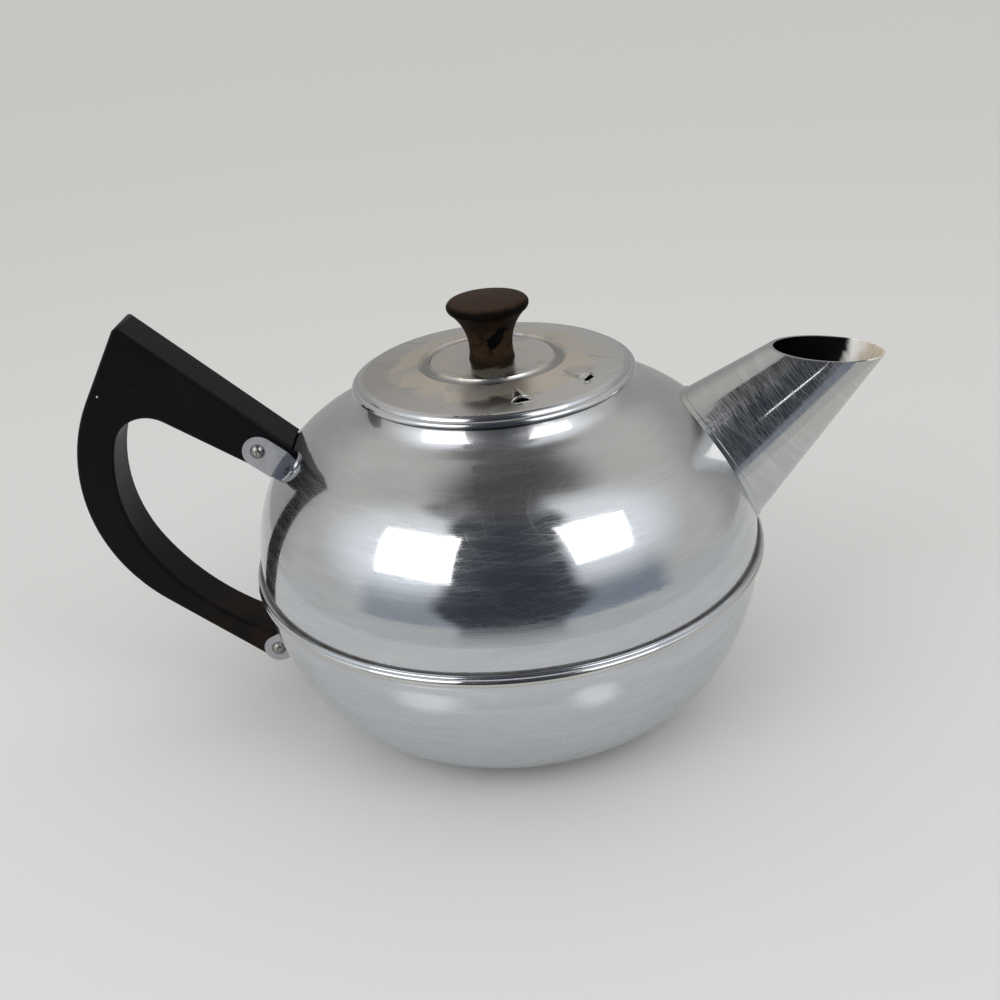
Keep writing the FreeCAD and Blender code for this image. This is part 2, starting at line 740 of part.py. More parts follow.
def make_lid_top():
    """The lid's plate: a plateau, a groove, a sloping ring, a round brow and a rim rolled round the skirt."""
    body = make_body("lid_top")
    brow = (f"{LID_RADIUS} - brow_inset", f"{LID_SEAT} + brow_rise")
    groove_edge = ("groove_outer", f"{LID_SEAT} + annulus_rise")
    under = "(0 - lid_sheet)"
    sketch = make_sketch(body, "lid_profile")
    draw_outline(sketch, [
        (KNOB_HOLE, f"{PLATEAU} + {under}"),
        (f"groove_inner + {under} / 2", f"{PLATEAU} + {under}"),
        (f"groove_outer - {under} / 2", f"{groove_edge[1]} + {under}"),
        (f"{brow[0]} + {under} / 2", f"{brow[1]} + {under}"),
        (SKIRT_RADIUS, FLANGE_TOP),
        (RIM_INNER, FLANGE_TOP),
        (RIM_INNER, LID_SEAT),
        (f"{LID_RADIUS} - lid_sheet / 2", LID_SEAT),
        (LID_RADIUS, f"{LID_SEAT} + lid_sheet / 2"),
        (f"{LID_RADIUS} - rim_width", f"{LID_SEAT} + rim_height"),
        brow,
        groove_edge,
        ("groove_inner", PLATEAU),
        (KNOB_HOLE, PLATEAU),
    ], {
        1: ("groove_arc + lid_sheet", True),
        8: ("rim_round", True),
        9: ("brow_round", True),
        11: ("groove_arc", False),
    })
    turn(body, "Revolution", sketch)
    doc.recompute()
    lance_vent(body, "front_vent", "front_vent_angle")
    lance_vent(body, "side_vent", "side_vent_angle")
    return body


def lance_vent(body, name, angle):
    """A vent cut and pushed up from the lid's ring: the top of a hollow cone that opens outwards."""
    slope = f"(annulus_rise - brow_rise) / ({LID_RADIUS} - brow_inset - groove_outer)"

    def on_axis(out, up="0"):
        place_out = f"vent_radius + ({out})"
        ring = f"{LID_SEAT} + annulus_rise - ({place_out} - groove_outer) * {slope}"
        return place_out, f"{ring} - vent_sink * (1 + ({out}) / vent_length) + {up}"

    for kind, mouth, back, ahead, sweep in (
        ("Revolution", "vent_mouth", "vent_length", "0", "vent_sweep"),
        ("Groove", "(vent_mouth - lid_sheet)", "(vent_length - lid_sheet * 2)", "lid_sheet", str(HALF_TURN)),
    ):
        cone = make_sketch(body, f"{name}_{'cover' if kind == 'Revolution' else 'way'}")
        draw_axis(cone, on_axis(f"0 - {back}"), on_axis(ahead))
        draw_outline(cone, [on_axis(f"0 - {back}"), on_axis(ahead), on_axis(ahead, mouth)])
        turn_sketch(cone, angle)
        turn(body, kind, cone, "Axis0", sweep)
        doc.recompute()


def make_lid_skirt():
    """The ring that locates the lid in the neck, with the flange that the lid's rim holds."""
    body = make_body("lid_skirt")
    sketch = make_sketch(body, "skirt_profile")
    inner = f"{SKIRT_RADIUS} - skirt_sheet"
    draw_outline(sketch, [
        (inner, f"{LID_SEAT} - skirt_depth"),
        (SKIRT_RADIUS, f"{LID_SEAT} - skirt_depth"),
        (SKIRT_RADIUS, LID_SEAT),
        (RIM_INNER, LID_SEAT),
        (RIM_INNER, FLANGE_TOP),
        (inner, FLANGE_TOP),
    ])
    turn(body, "Revolution", sketch)
    return body


def make_knob():
    """The knob: a waisted stem that flares into a flat, softly edged top."""
    body = make_body("knob")
    rim = f"{PLATEAU} + knob_height - knob_edge"
    crown = "((knob_radius - knob_edge)^2 + knob_crown^2) / (2 * knob_crown)"
    sketch = make_sketch(body, "knob_profile")
    draw_outline(sketch, [
        ("insert_radius", PLATEAU),
        ("knob_base", PLATEAU),
        ("knob_radius - knob_edge / 2", f"{rim} - knob_edge"),
        ("knob_radius", rim),
        ("knob_radius - knob_edge", f"{PLATEAU} + knob_height - knob_crown"),
        ("0", f"{PLATEAU} + knob_height"),
        ("0", f"{PLATEAU} + insert_length"),
        ("insert_radius", f"{PLATEAU} + insert_length"),
    ], {
        1: ("knob_flare", False),
        2: ("knob_edge", True),
        3: ("knob_edge", True),
        4: (crown, True),
    })
    turn(body, "Revolution", sketch)
    return body


def make_knob_insert():
    """The threaded bush in the knob's stem."""
    body = make_body("knob_insert")
    sketch = make_sketch(body, "insert_profile")
    bore = "knob_screw_radius + thread_fit"
    draw_outline(sketch, [
        (bore, PLATEAU),
        ("insert_radius", PLATEAU),
        ("insert_radius", f"{PLATEAU} + insert_length"),
        (bore, f"{PLATEAU} + insert_length"),
    ])
    turn(body, "Revolution", sketch)
    return body


LID_UNDER = f"({PLATEAU} - lid_sheet)"
WASHER_UNDER = f"({LID_UNDER} - washer_thickness)"


def make_knob_screw():
    """The screw that holds the knob from under the lid."""
    body = make_body("knob_screw")
    sketch = make_sketch(body, "knob_screw_profile")
    tip = f"{PLATEAU} + knob_screw_depth"
    draw_outline(sketch, [
        ("0", f"{WASHER_UNDER} - knob_head_height"),
        ("knob_head_radius", f"{WASHER_UNDER} - knob_head_height"),
        ("knob_head_radius", WASHER_UNDER),
        ("knob_screw_radius", WASHER_UNDER),
        ("knob_screw_radius", tip),
        ("0", tip),
    ])
    turn(body, "Revolution", sketch)
    return body


def make_knob_washer():
    """The washer between the knob's screw and the lid."""
    body = make_body("knob_washer")
    sketch = make_sketch(body, "washer_profile")
    draw_outline(sketch, [
        (KNOB_HOLE, WASHER_UNDER),
        ("washer_radius", WASHER_UNDER),
        ("washer_radius", LID_UNDER),
        (KNOB_HOLE, LID_UNDER),
    ])
    turn(body, "Revolution", sketch)
    return body


def make_handle_fittings():
    """The brackets, screws and nuts at both ends of the handle."""
    fittings = []
    for end, seat, centre, leg, hole_out, width, lean in (
        ("upper", UPPER_SEAT, UPPER_SCREW, "upper_leg", "upper_screw_out", "bracket_width", "foot_lean"),
        ("lower", LOWER_SEAT, LOWER_SCREW, "lower_leg", "lower_screw_out", "lower_bracket_width", "0"),
    ):
        fittings.append(make_bracket(f"{end}_bracket_near", seat, True, leg, hole_out, width, lean))
        turned = "0" if lean == "0" else f"(0 - {lean})"
        fittings.append(make_bracket(f"{end}_bracket_far", seat, False, leg, hole_out, width, turned))
        fittings.append(make_screw(f"{end}_handle_screw", centre))
        fittings.append(make_nut(f"{end}_handle_nut", centre))
    return fittings


def check_document():
    """Stops if any object of the document failed to build."""
    failed = [item.Name for item in doc.Objects if {"Invalid", "Error"} & set(item.State)]
    if failed:
        raise RuntimeError(f"these objects failed: {failed}")


def check_piece(piece):
    """Stops if a piece isn't one sound solid."""
    shape = piece.Shape
    if shape.isNull() or not shape.isValid() or len(shape.Solids) != 1:
        raise RuntimeError(f"{piece.Label} isn't one sound solid")


pieces = [
    make_upper_shell(),
    make_lower_shell(),
    make_spout(),
    make_handle(),
    *make_handle_fittings(),
    make_lid_top(),
    make_lid_skirt(),
    make_knob(),
    make_knob_insert(),
    make_knob_screw(),
    make_knob_washer(),
]
doc.recompute()
check_document()
for piece in pieces:
    check_piece(piece)
os.makedirs("parts", exist_ok=True)
for piece in pieces:
    piece.Shape.exportStep(f"parts/{piece.Label}.step")
    print(f"{piece.Label}: {piece.Shape.Volume:.1f} cubic millimetres")
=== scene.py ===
"""The look of a chromed teapot with a moulded handle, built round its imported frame.

Sizes in the classes are millimetres and degrees, and the meshes are in metres. The pot's axis is Z, the
spout points along +X, the handle along -X and the camera stands on the -Y side.
"""

import json
import logging
import math
from dataclasses import dataclass, field, replace
from enum import Enum
from typing import Any

import bmesh
import bpy
from mathutils import Matrix, Vector

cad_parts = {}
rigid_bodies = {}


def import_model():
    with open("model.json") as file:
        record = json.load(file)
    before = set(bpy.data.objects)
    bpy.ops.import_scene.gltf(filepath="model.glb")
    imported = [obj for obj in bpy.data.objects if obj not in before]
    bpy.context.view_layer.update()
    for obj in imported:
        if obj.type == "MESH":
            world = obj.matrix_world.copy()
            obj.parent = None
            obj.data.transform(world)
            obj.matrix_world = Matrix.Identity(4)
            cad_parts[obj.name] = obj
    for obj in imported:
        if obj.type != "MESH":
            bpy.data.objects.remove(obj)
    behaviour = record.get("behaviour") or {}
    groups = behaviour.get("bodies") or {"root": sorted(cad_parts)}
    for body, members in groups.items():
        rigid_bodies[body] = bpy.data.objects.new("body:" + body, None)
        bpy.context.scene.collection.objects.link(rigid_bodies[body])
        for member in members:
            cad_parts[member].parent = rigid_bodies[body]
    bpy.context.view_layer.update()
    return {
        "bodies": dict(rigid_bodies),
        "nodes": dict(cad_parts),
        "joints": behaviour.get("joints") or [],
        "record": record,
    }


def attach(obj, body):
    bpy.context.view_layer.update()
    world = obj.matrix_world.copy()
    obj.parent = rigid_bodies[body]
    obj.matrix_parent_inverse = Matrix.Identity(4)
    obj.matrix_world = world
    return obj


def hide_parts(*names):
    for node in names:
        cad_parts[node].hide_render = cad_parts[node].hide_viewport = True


MM = 0.001
SAME_POINT = 0.001 * MM
LOG = logging.getLogger("teapot")

Colour = tuple[float, float, float]
Point = tuple[float, float, float]
Span = tuple[float, float]
Band = tuple[float, float, float]
Material = bpy.types.Material
Mesh = bmesh.types.BMesh
Socket = bpy.types.NodeSocket


class Body(Enum):
    """The two bodies of the frame."""

    POT = "pot"
    LID = "lid"


class Slot(Enum):
    """The record's material slots that the new pieces' materials stand for."""

    CHROME = "pot_chrome"
    LID = "lid_metal"
    TAB = "tab_metal"
    BLACK = "handle_black"


class Ray(Enum):
    """The kinds of ray that a stage object can be hidden from."""

    CAMERA = "visible_camera"
    DIFFUSE = "visible_diffuse"
    SHADOW = "visible_shadow"
    TRANSMISSION = "visible_transmission"


def metres(lengths: tuple[float, ...]) -> tuple[float, ...]:
    """Turns millimetres into metres."""
    return tuple(length * MM for length in lengths)


def turned(axis: str, degrees: float) -> Matrix:
    """A turn about one axis."""
    return Matrix.Rotation(math.radians(degrees), 3, axis)


def move(
    mesh: Mesh,
    turn: Matrix | None = None,
    place: Point = (0.0, 0.0, 0.0),
    verts: list[bmesh.types.BMVert] | None = None,
) -> None:
    """Turns a mesh about the origin and then shifts it.

    Args:
        mesh: The mesh.
        turn: The turn, if there is one.
        place: The shift, in millimetres.
        verts: The points that move, where not all of them do.
    """
    points = verts or mesh.verts[:]
    if turn is not None:
        bmesh.ops.rotate(mesh, verts=points, cent=(0, 0, 0), matrix=turn)
    bmesh.ops.translate(mesh, verts=points, vec=metres(place))


def to_object(name: str, mesh: Mesh, material: Material) -> bpy.types.Object:
    """Puts a mesh into the scene.

    Args:
        name: The new object's name.
        mesh: Its mesh, which is freed.
        material: Its material.

    Returns:
        The object.
    """
    data = bpy.data.meshes.new(name)
    mesh.to_mesh(data)
    mesh.free()
    data.materials.append(material)
    thing = bpy.data.objects.new(name, data)
    bpy.context.collection.objects.link(thing)
    return thing


# The shader nodes


@dataclass(frozen=True)
class Grain:
    """A pattern: the size of its unit, its origin and turn, and how rough and bent its noise is."""

    size: Point
    centre: Point = (0.0, 0.0, 0.0)
    turn: Point = (0.0, 0.0, 0.0)
    detail: float = 2.0
    roughness: float = 0.5
    bend: float = 0.0


Specks = tuple[Grain, float, float]


class Value:
    """A number that changes over a surface: a socket whose sums add Math nodes."""

    def __init__(self, kit: "NodeKit", socket: Socket) -> None:
        self.kit = kit
        self.socket = socket

    def math(self, operation: str, *terms: "Value | float") -> "Value":
        """Adds one Math node.

        Args:
            operation: The node's operation.
            terms: Its inputs, in order.

        Returns:
            The node's result.
        """
        node = self.kit.node("ShaderNodeMath", {"operation": operation}, dict(enumerate(terms)))
        return Value(self.kit, node.outputs[0])

    def __add__(self, other: "Value | float") -> "Value":
        """This plus another."""
        return self.math("ADD", self, other)

    def __radd__(self, other: float) -> "Value":
        """A number plus this."""
        return self.math("ADD", other, self)

    def __sub__(self, other: "Value | float") -> "Value":
        """This less another."""
        return self.math("SUBTRACT", self, other)

    def __rsub__(self, other: float) -> "Value":
        """A number less this."""
        return self.math("SUBTRACT", other, self)

    def __mul__(self, other: "Value | float") -> "Value":
        """This times another."""
        return self.math("MULTIPLY", self, other)

    def __rmul__(self, other: float) -> "Value":
        """A number times this."""
        return self.math("MULTIPLY", other, self)

    def __abs__(self) -> "Value":
        """This without its sign."""
        return self.math("ABSOLUTE", self)

    def root(self) -> "Value":
        """The square root of this."""
        return self.math("SQRT", self)

    def most(self, other: "Value | float") -> "Value":
        """The larger of this and another."""
        return self.math("MAXIMUM", self, other)

    def rise(self, low: float, high: float) -> "Value":
        """A smooth step.

        Args:
            low: Where the step leaves 0.
            high: Where it reaches 1. It may lie below low, for a step down.

        Returns:
            A value from 0 to 1.
        """
        ends = (low, high, 0.0, 1.0) if low < high else (high, low, 1.0, 0.0)
        names = ("From Min", "From Max", "To Min", "To Max")
        node = self.kit.node(
            "ShaderNodeMapRange",
            {"interpolation_type": "SMOOTHSTEP", "clamp": True},
            {"Value": self, **dict(zip(names, ends))},
        )
        return Value(self.kit, node.outputs["Result"])

    def band(self, low: float, high: float, soft: float) -> "Value":
        """A mask that is 1 between two limits and fades out over a soft edge."""
        return self.rise(low - soft, low + soft) * self.rise(high + soft, high - soft)


class NodeKit:
    """Adds nodes to one material's tree and links them."""

    def __init__(self, name: str) -> None:
        """Makes a new material with an empty tree.

        Args:
            name: The material's name.
        """
        self.material = bpy.data.materials.new(name)
        self.material.use_nodes = True
        self.tree = self.material.node_tree
        self.tree.nodes.clear()
        self.output = self.node("ShaderNodeOutputMaterial")
        self.place = self.node("ShaderNodeTexCoord").outputs["Object"]

    def node(
        self,
        kind: str,
        settings: dict[str, Any] | None = None,
        sockets: dict[str | int, Any] | None = None,
    ) -> bpy.types.Node:
        """Adds any node.

        Args:
            kind: The node's type.
            settings: Its own settings, which are set first.
            sockets: Values, or sockets to link, for its inputs by name or number.

        Returns:
            The new node.
        """
        node = self.tree.nodes.new(kind)
        for name, setting in (settings or {}).items():
            setattr(node, name, setting)
        for key, given in (sockets or {}).items():
            socket = node.inputs[key]
            if isinstance(given, Value):
                self.tree.links.new(given.socket, socket)
            elif isinstance(given, Socket):
                self.tree.links.new(given, socket)
            elif socket.type == "RGBA" and len(given) == 3:
                socket.default_value = (*given, 1.0)
            else:
                socket.default_value = given
        return node

    def mix(self, factor: Value | float, start: Any, end: Any) -> Socket:
        """Mixes two colours, or their sockets, by a share of the second."""
        return self.node("ShaderNodeMix", {"data_type": "RGBA"}, {0: factor, 6: start, 7: end}).outputs[2]

    def layers(self, base: Any, *coats: tuple[Value | float, Any]) -> Socket:
        """Lays colours over a base colour.

        Args:
            base: The base colour, or its socket.
            coats: Each further coat's mask and its colour, or the colour's socket.

        Returns:
            The last colour's socket.
        """
        for mask, colour in coats:
            base = self.mix(mask, base, colour)
        return base

    def vector(self, operation: str, *terms: Any) -> Socket:
        """Adds a Vector Math node and gives its vector result."""
        node = self.node("ShaderNodeVectorMath", {"operation": operation}, dict(enumerate(terms)))
        return node.outputs[0]

    def measure(self, operation: str, *terms: Any) -> Value:
        """Adds a Vector Math node and gives its number, as a dot product or a length has one."""
        node = self.node("ShaderNodeVectorMath", {"operation": operation}, dict(enumerate(terms)))
        return Value(self, node.outputs["Value"])

    def facing(self, direction: Any) -> Value:
        """How far the surface's normal goes along a direction."""
        normal = self.node("ShaderNodeNewGeometry").outputs["Normal"]
        return self.measure("DOT_PRODUCT", normal, direction)

    def axes(self, vector: Any = None) -> tuple[Value, Value, Value]:
        """Splits a vector, or the surface point, into three numbers."""
        node = self.node("ShaderNodeSeparateXYZ", None, {0: vector or self.place})
        return tuple(Value(self, socket) for socket in node.outputs)

    def mapped(self, grain: Grain) -> Socket:
        """The surface point in a pattern's own coordinates."""
        node = self.node("ShaderNodeMapping", {"vector_type": "TEXTURE"}, {
            "Vector": self.place,
            "Location": metres(grain.centre),
            "Rotation": tuple(math.radians(part) for part in grain.turn),
            "Scale": metres(grain.size),
        })
        return node.outputs[0]

    def noise(self, grain: Grain, place: Any = None) -> Value:
        """Soft noise from 0 to 1 round 0.5, in a pattern's coordinates or in others that are given."""
        node = self.node("ShaderNodeTexNoise", None, {
            "Vector": place or self.mapped(grain), "Scale": 1.0, "Detail": grain.detail,
            "Roughness": grain.roughness, "Distortion": grain.bend,
        })
        return Value(self, node.outputs[0])

    def dots(self, cells: Grain, radius: float, share: float) -> Value:
        """Scattered round specks.

        Args:
            cells: The pattern whose unit is one cell.
            radius: A speck's radius, in cells.
            share: The share of cells that have a speck.

        Returns:
            A mask that is 1 in the specks.
        """
        node = self.node("ShaderNodeTexVoronoi", None, {"Vector": self.mapped(cells), "Scale": 1.0})
        chosen = self.axes(node.outputs["Color"])[0].rise(share, share * 0.96)
        return Value(self, node.outputs["Distance"]).rise(radius, radius * 0.5) * chosen

    def hairs(self, turn: Point, tilts: tuple[Span, ...], size: Point, edge: float) -> Value:
        """Fine hair lines that run round an axis and cross.

        Args:
            turn: The axis's own turn about X, Y and Z, in degrees.
            tilts: Each set's further tilt about X and Y, in degrees.
            size: A line's length, twice, and its pitch, in millimetres.
            edge: The noise level above which a line shows, so how sparse they are.

        Returns:
            A mask that is 1 in the lines.
        """
        marks = None
        for aside, ahead in tilts:
            tilted = (turn[0] + aside, turn[1] + ahead, turn[2])
            lines = Grain(size, (aside, ahead, aside * 3), tilted, detail=1.0, bend=0.1)
            mark = self.noise(lines).rise(edge, edge + 0.05)
            marks = mark if marks is None else marks.most(mark)
        return marks

    def out_from_axis(self) -> Value:
        """How far the surface point lies from the pot's axis, in metres."""
        x, y, _ = self.axes()
        return (x * x + y * y).root()

    def ball(self, centre: Point, reach: float) -> Value:
        """A soft ball, 1 in the middle and 0 at its reach, both in millimetres."""
        away = self.measure("DISTANCE", self.place, metres(centre))
        return away.rise(reach * MM, reach * MM * 0.3)

    def bumps(self, *heights: tuple[Value, float]) -> Socket:
        """Stacks heights into one bent normal.

        Args:
            heights: Each height, from 0 to 1, and how deep 1 is, in millimetres.

        Returns:
            The normal's socket.
        """
        under: dict[str, Socket] = {}
        for height, depth in heights:
            sockets = {"Height": height, "Distance": depth * MM, "Strength": 1.0, **under}
            under["Normal"] = self.node("ShaderNodeBump", None, sockets).outputs[0]
        return under["Normal"]

    def shader(self, **sockets: Any) -> Socket:
        """Adds a Principled shader, with underscores for the spaces in its sockets' names."""
        named = {name.replace("_", " "): given for name, given in sockets.items()}
        return self.node("ShaderNodeBsdfPrincipled", None, named).outputs[0]

    def light(self, colour: Any, strength: float) -> Socket:
        """Adds a plain emission shader."""
        return self.node("ShaderNodeEmission", None, {"Color": colour, "Strength": strength}).outputs[0]

    def blend(self, factor: Value, first: Any, second: Any) -> Socket:
        """Mixes two shaders by a share of the second."""
        return self.node("ShaderNodeMixShader", None, {0: factor, 1: first, 2: second}).outputs[0]

    def end(self, shader: Socket) -> Material:
        """Ends the tree in a shader and gives the material."""
        self.tree.links.new(shader, self.output.inputs["Surface"])
        return self.material

    def surface(self, **sockets: Any) -> Material:
        """Ends the tree in one Principled shader."""
        return self.end(self.shader(**sockets))

    def glow(self, colour: Any, strength: float) -> Material:
        """Ends the tree in plain emission."""
        return self.end(self.light(colour, strength))


# The finishes


@dataclass(frozen=True)
class PolishedChrome:
    """Worn chrome plate: a hazed mirror with turning marks, crossing hair lines, pits and dull marks."""

    name: str
    axis_from: Point
    axis_turn: Point
    tint: Colour = (0.578, 0.602, 0.634)
    # A warmer tint above the shoulder, a painted reflection tone.
    upper_reflection_tint: Colour = (0.612, 0.606, 0.598)
    shoulder: Span = (60.0, 92.0)
    dull: Colour = (0.5, 0.505, 0.51)
    clouds: Grain = Grain((24, 24, 5), (3, 9, 0), detail=4.0, roughness=0.55, bend=0.3)
    cloud_depth: float = 0.006
    film: Span = (0.46, 0.72)
    smear: Colour = (0.68, 0.685, 0.69)
    smears: Grain = Grain((30, 30, 2.6), (7, 1, 0), detail=3.0, roughness=0.6, bend=0.5)
    smeared: Span = (0.5, 0.64)
    pit: Colour = (0.09, 0.085, 0.08)
    pits: tuple[Specks, Specks] = (
        (Grain((8, 8, 8)), 0.03, 0.28),
        (Grain((3.4, 3.4, 3.4), (2, 5, 1), (20, 0, 0)), 0.045, 0.1),
    )
    gloss: float = 0.055
    haze: float = 0.34
    veil: float = 0.09
    rings: Grain = Grain((45, 45, 0.7), detail=3.0, roughness=0.6, bend=0.3)
    ring_depth: float = 0.007
    hair_tilts: tuple[Span, ...] = ((2, 3), (-6, 8), (9, -5), (-14, -12), (35, 25))
    hair_size: Point = (24.0, 24.0, 0.2)
    hair_edge: float = 0.63
    hair_depth: float = 0.0008
    hair_share: float = 0.15
    hem: Span = (48.7, 51.2)
    hem_soft: float = 0.3
    hem_tint: Colour = (0.6, 0.56, 0.49)
    # The colour of the painted shade round the neck, under the lid's rim.
    dark_ring: Colour = (0.035, 0.03, 0.026)
    neck_shade: Span = (104.2, 104.6)
    neck_rubbed: Span = (95.0, 101.0)
    inside: Colour = (0.3, 0.29, 0.27)
    inner: Span = (1.0, -4.0)
    tea: Colour = (0.12, 0.07, 0.035)
    tea_clouds: Grain = Grain((14, 14, 9), detail=5.0, roughness=0.65)
    tea_level: Span = (0.38, 0.68)

    def make(self) -> Material:
        """Builds the material: a mirror with a thin veil of haze over it.

        Returns:
            The finished material.
        """
        kit = NodeKit(self.name)
        rings = kit.noise(replace(self.rings, centre=self.axis_from, turn=self.axis_turn))
        hairs = kit.hairs(self.axis_turn, self.hair_tilts, self.hair_size, self.hair_edge)
        clouds = kit.noise(replace(self.clouds, turn=self.axis_turn))
        film = clouds.rise(*self.film)
        smears = kit.noise(replace(self.smears, turn=self.axis_turn)).rise(*self.smeared)
        coarse, fine = (kit.dots(*specks) for specks in self.pits)
        pits = coarse.most(fine)
        inner = self.inner_side(kit)
        height = kit.axes()[2]
        hem = height.band(*metres(self.hem), self.hem_soft * MM)
        plate = kit.layers(
            self.tint,
            # Painted reflection tone: warmer above the shoulder.
            (height.rise(*metres(self.shoulder)), self.upper_reflection_tint),
            (film * 0.35, self.dull),
            (smears * 0.35, self.smear),
            (hem * 0.5, self.hem_tint),
            (pits * 0.8, self.pit),
            # Painted shade: a dark ring round the neck under the lid's rim.
            (self.painted_shade(kit), self.dark_ring),
        )
        same = {
            "Base_Color": kit.mix(inner, plate, self.lining(kit)),
            "Metallic": 1.0 - inner,
            "Specular_IOR_Level": 0.1,
            "Normal": kit.bumps(
                (rings, self.ring_depth), (hairs, self.hair_depth), (clouds, self.cloud_depth),
            ),
        }
        rough = self.gloss + film * 0.03 + hairs * 0.05 + pits * 0.3 + inner * 0.25
        share = self.veil + film * 0.08 + smears * 0.1 + hairs * self.hair_share + self.rubbed(kit)
        mirror = kit.shader(Roughness=rough, **same)
        haze = kit.shader(Roughness=self.haze, **same)
        return kit.end(kit.blend(share, mirror, haze))

    def rubbed(self, kit: NodeKit) -> Value | float:
        """Where rubbing has hazed the plate further, round the neck."""
        return kit.axes()[2].rise(*metres(self.neck_rubbed)) * 0.4

    def painted_shade(self, kit: NodeKit) -> Value | float:
        """Painted shade: the dark ring round the neck, in the gap under the lid's rim."""
        return kit.axes()[2].rise(*metres(self.neck_shade)) * 0.9

    def lining(self, kit: NodeKit) -> Socket:
        """The colour of the inside, browned by tea."""
        stain = kit.noise(self.tea_clouds).rise(*self.tea_level)
        return kit.mix(stain * 0.75, self.inside, self.tea)

    def inner_side(self, kit: NodeKit) -> Value:
        """A mask that is 1 where the sheet faces the axis, so is the inside."""
        out = kit.vector("SUBTRACT", kit.place, metres(self.axis_from))
        return kit.facing(out).rise(*metres(self.inner))


@dataclass(frozen=True)
class ConeChrome(PolishedChrome):
    """The spout's chrome, with rubbing marks round the cone, a black inside that is painted shade, a painted
    highlight at the lip and a tan stain in its lip.
    """

    along: Point = (0.7649, 0.0, 0.6441)
    foot: Span = (38.0, 22.0)
    inner: Span = (1.0, -2.0)
    slant: Point = (1.0, 0.0, -0.405)
    lip: Span = (62.0, 64.5)
    tip: Span = (64.8, 68.0)
    edge: Grain = Grain((5, 5, 5), detail=4.0, roughness=0.6, bend=0.4)
    edge_reach: float = 4.0
    # The colour of the painted highlight at the lip.
    lip_highlight: Colour = (0.97, 0.95, 0.9)
    tan: Colour = (0.64, 0.56, 0.45)
    brown: Colour = (0.3, 0.24, 0.17)
    # The black of the painted shade deep in the spout.
    depth_shade: Colour = (0.005, 0.005, 0.005)
    streaks: Grain = Grain((7, 0.7, 7), turn=(0, 0, 35), detail=4.0, roughness=0.6)
    streaked: Span = (0.44, 0.66)

    def run(self, kit: NodeKit) -> tuple[Any, Value]:
        """Where the surface point lies from the start of the cone's axis, and how far along it."""
        out = kit.vector("SUBTRACT", kit.place, metres(self.axis_from))
        return out, kit.measure("DOT_PRODUCT", out, self.along)

    def lining(self, kit: NodeKit) -> Socket:
        """The colour of the inside: black painted shade in the depth, a pale painted highlight at the lip and
        tan in the tip.

        Args:
            kit: The material's nodes.

        Returns:
            The colour's socket.
        """
        uneven = (kit.noise(self.edge) - 0.5) * (self.edge_reach * MM)
        ragged = kit.measure("DOT_PRODUCT", kit.place, self.slant) + uneven
        streaks = kit.noise(self.streaks).rise(*self.streaked) * 0.4
        stain = kit.mix(streaks, self.tan, self.brown)
        # A painted highlight: the pale band at the lip.
        metal = kit.mix(ragged.rise(*metres(self.tip)), self.lip_highlight, stain)
        # Painted shade: black in the spout's depth.
        return kit.mix(ragged.rise(*metres(self.lip)), self.depth_shade, metal)

    def rubbed(self, kit: NodeKit) -> Value | float:
        """The foot, where a cloth has gone round and round."""
        return self.run(kit)[1].rise(*metres(self.foot)) * 0.15

    def painted_shade(self, kit: NodeKit) -> Value | float:
        """Painted shade, none here."""
        return 0.0

    def inner_side(self, kit: NodeKit) -> Value:
        """A mask that is 1 where the sheet faces the cone's own axis.

        Args:
            kit: The material's nodes.

        Returns:
            The mask.
        """
        out, run = self.run(kit)
        step = kit.node("ShaderNodeVectorMath", {"operation": "SCALE"}, {0: self.along, "Scale": run})
        return kit.facing(kit.vector("SUBTRACT", out, step.outputs[0])).rise(*metres(self.inner))


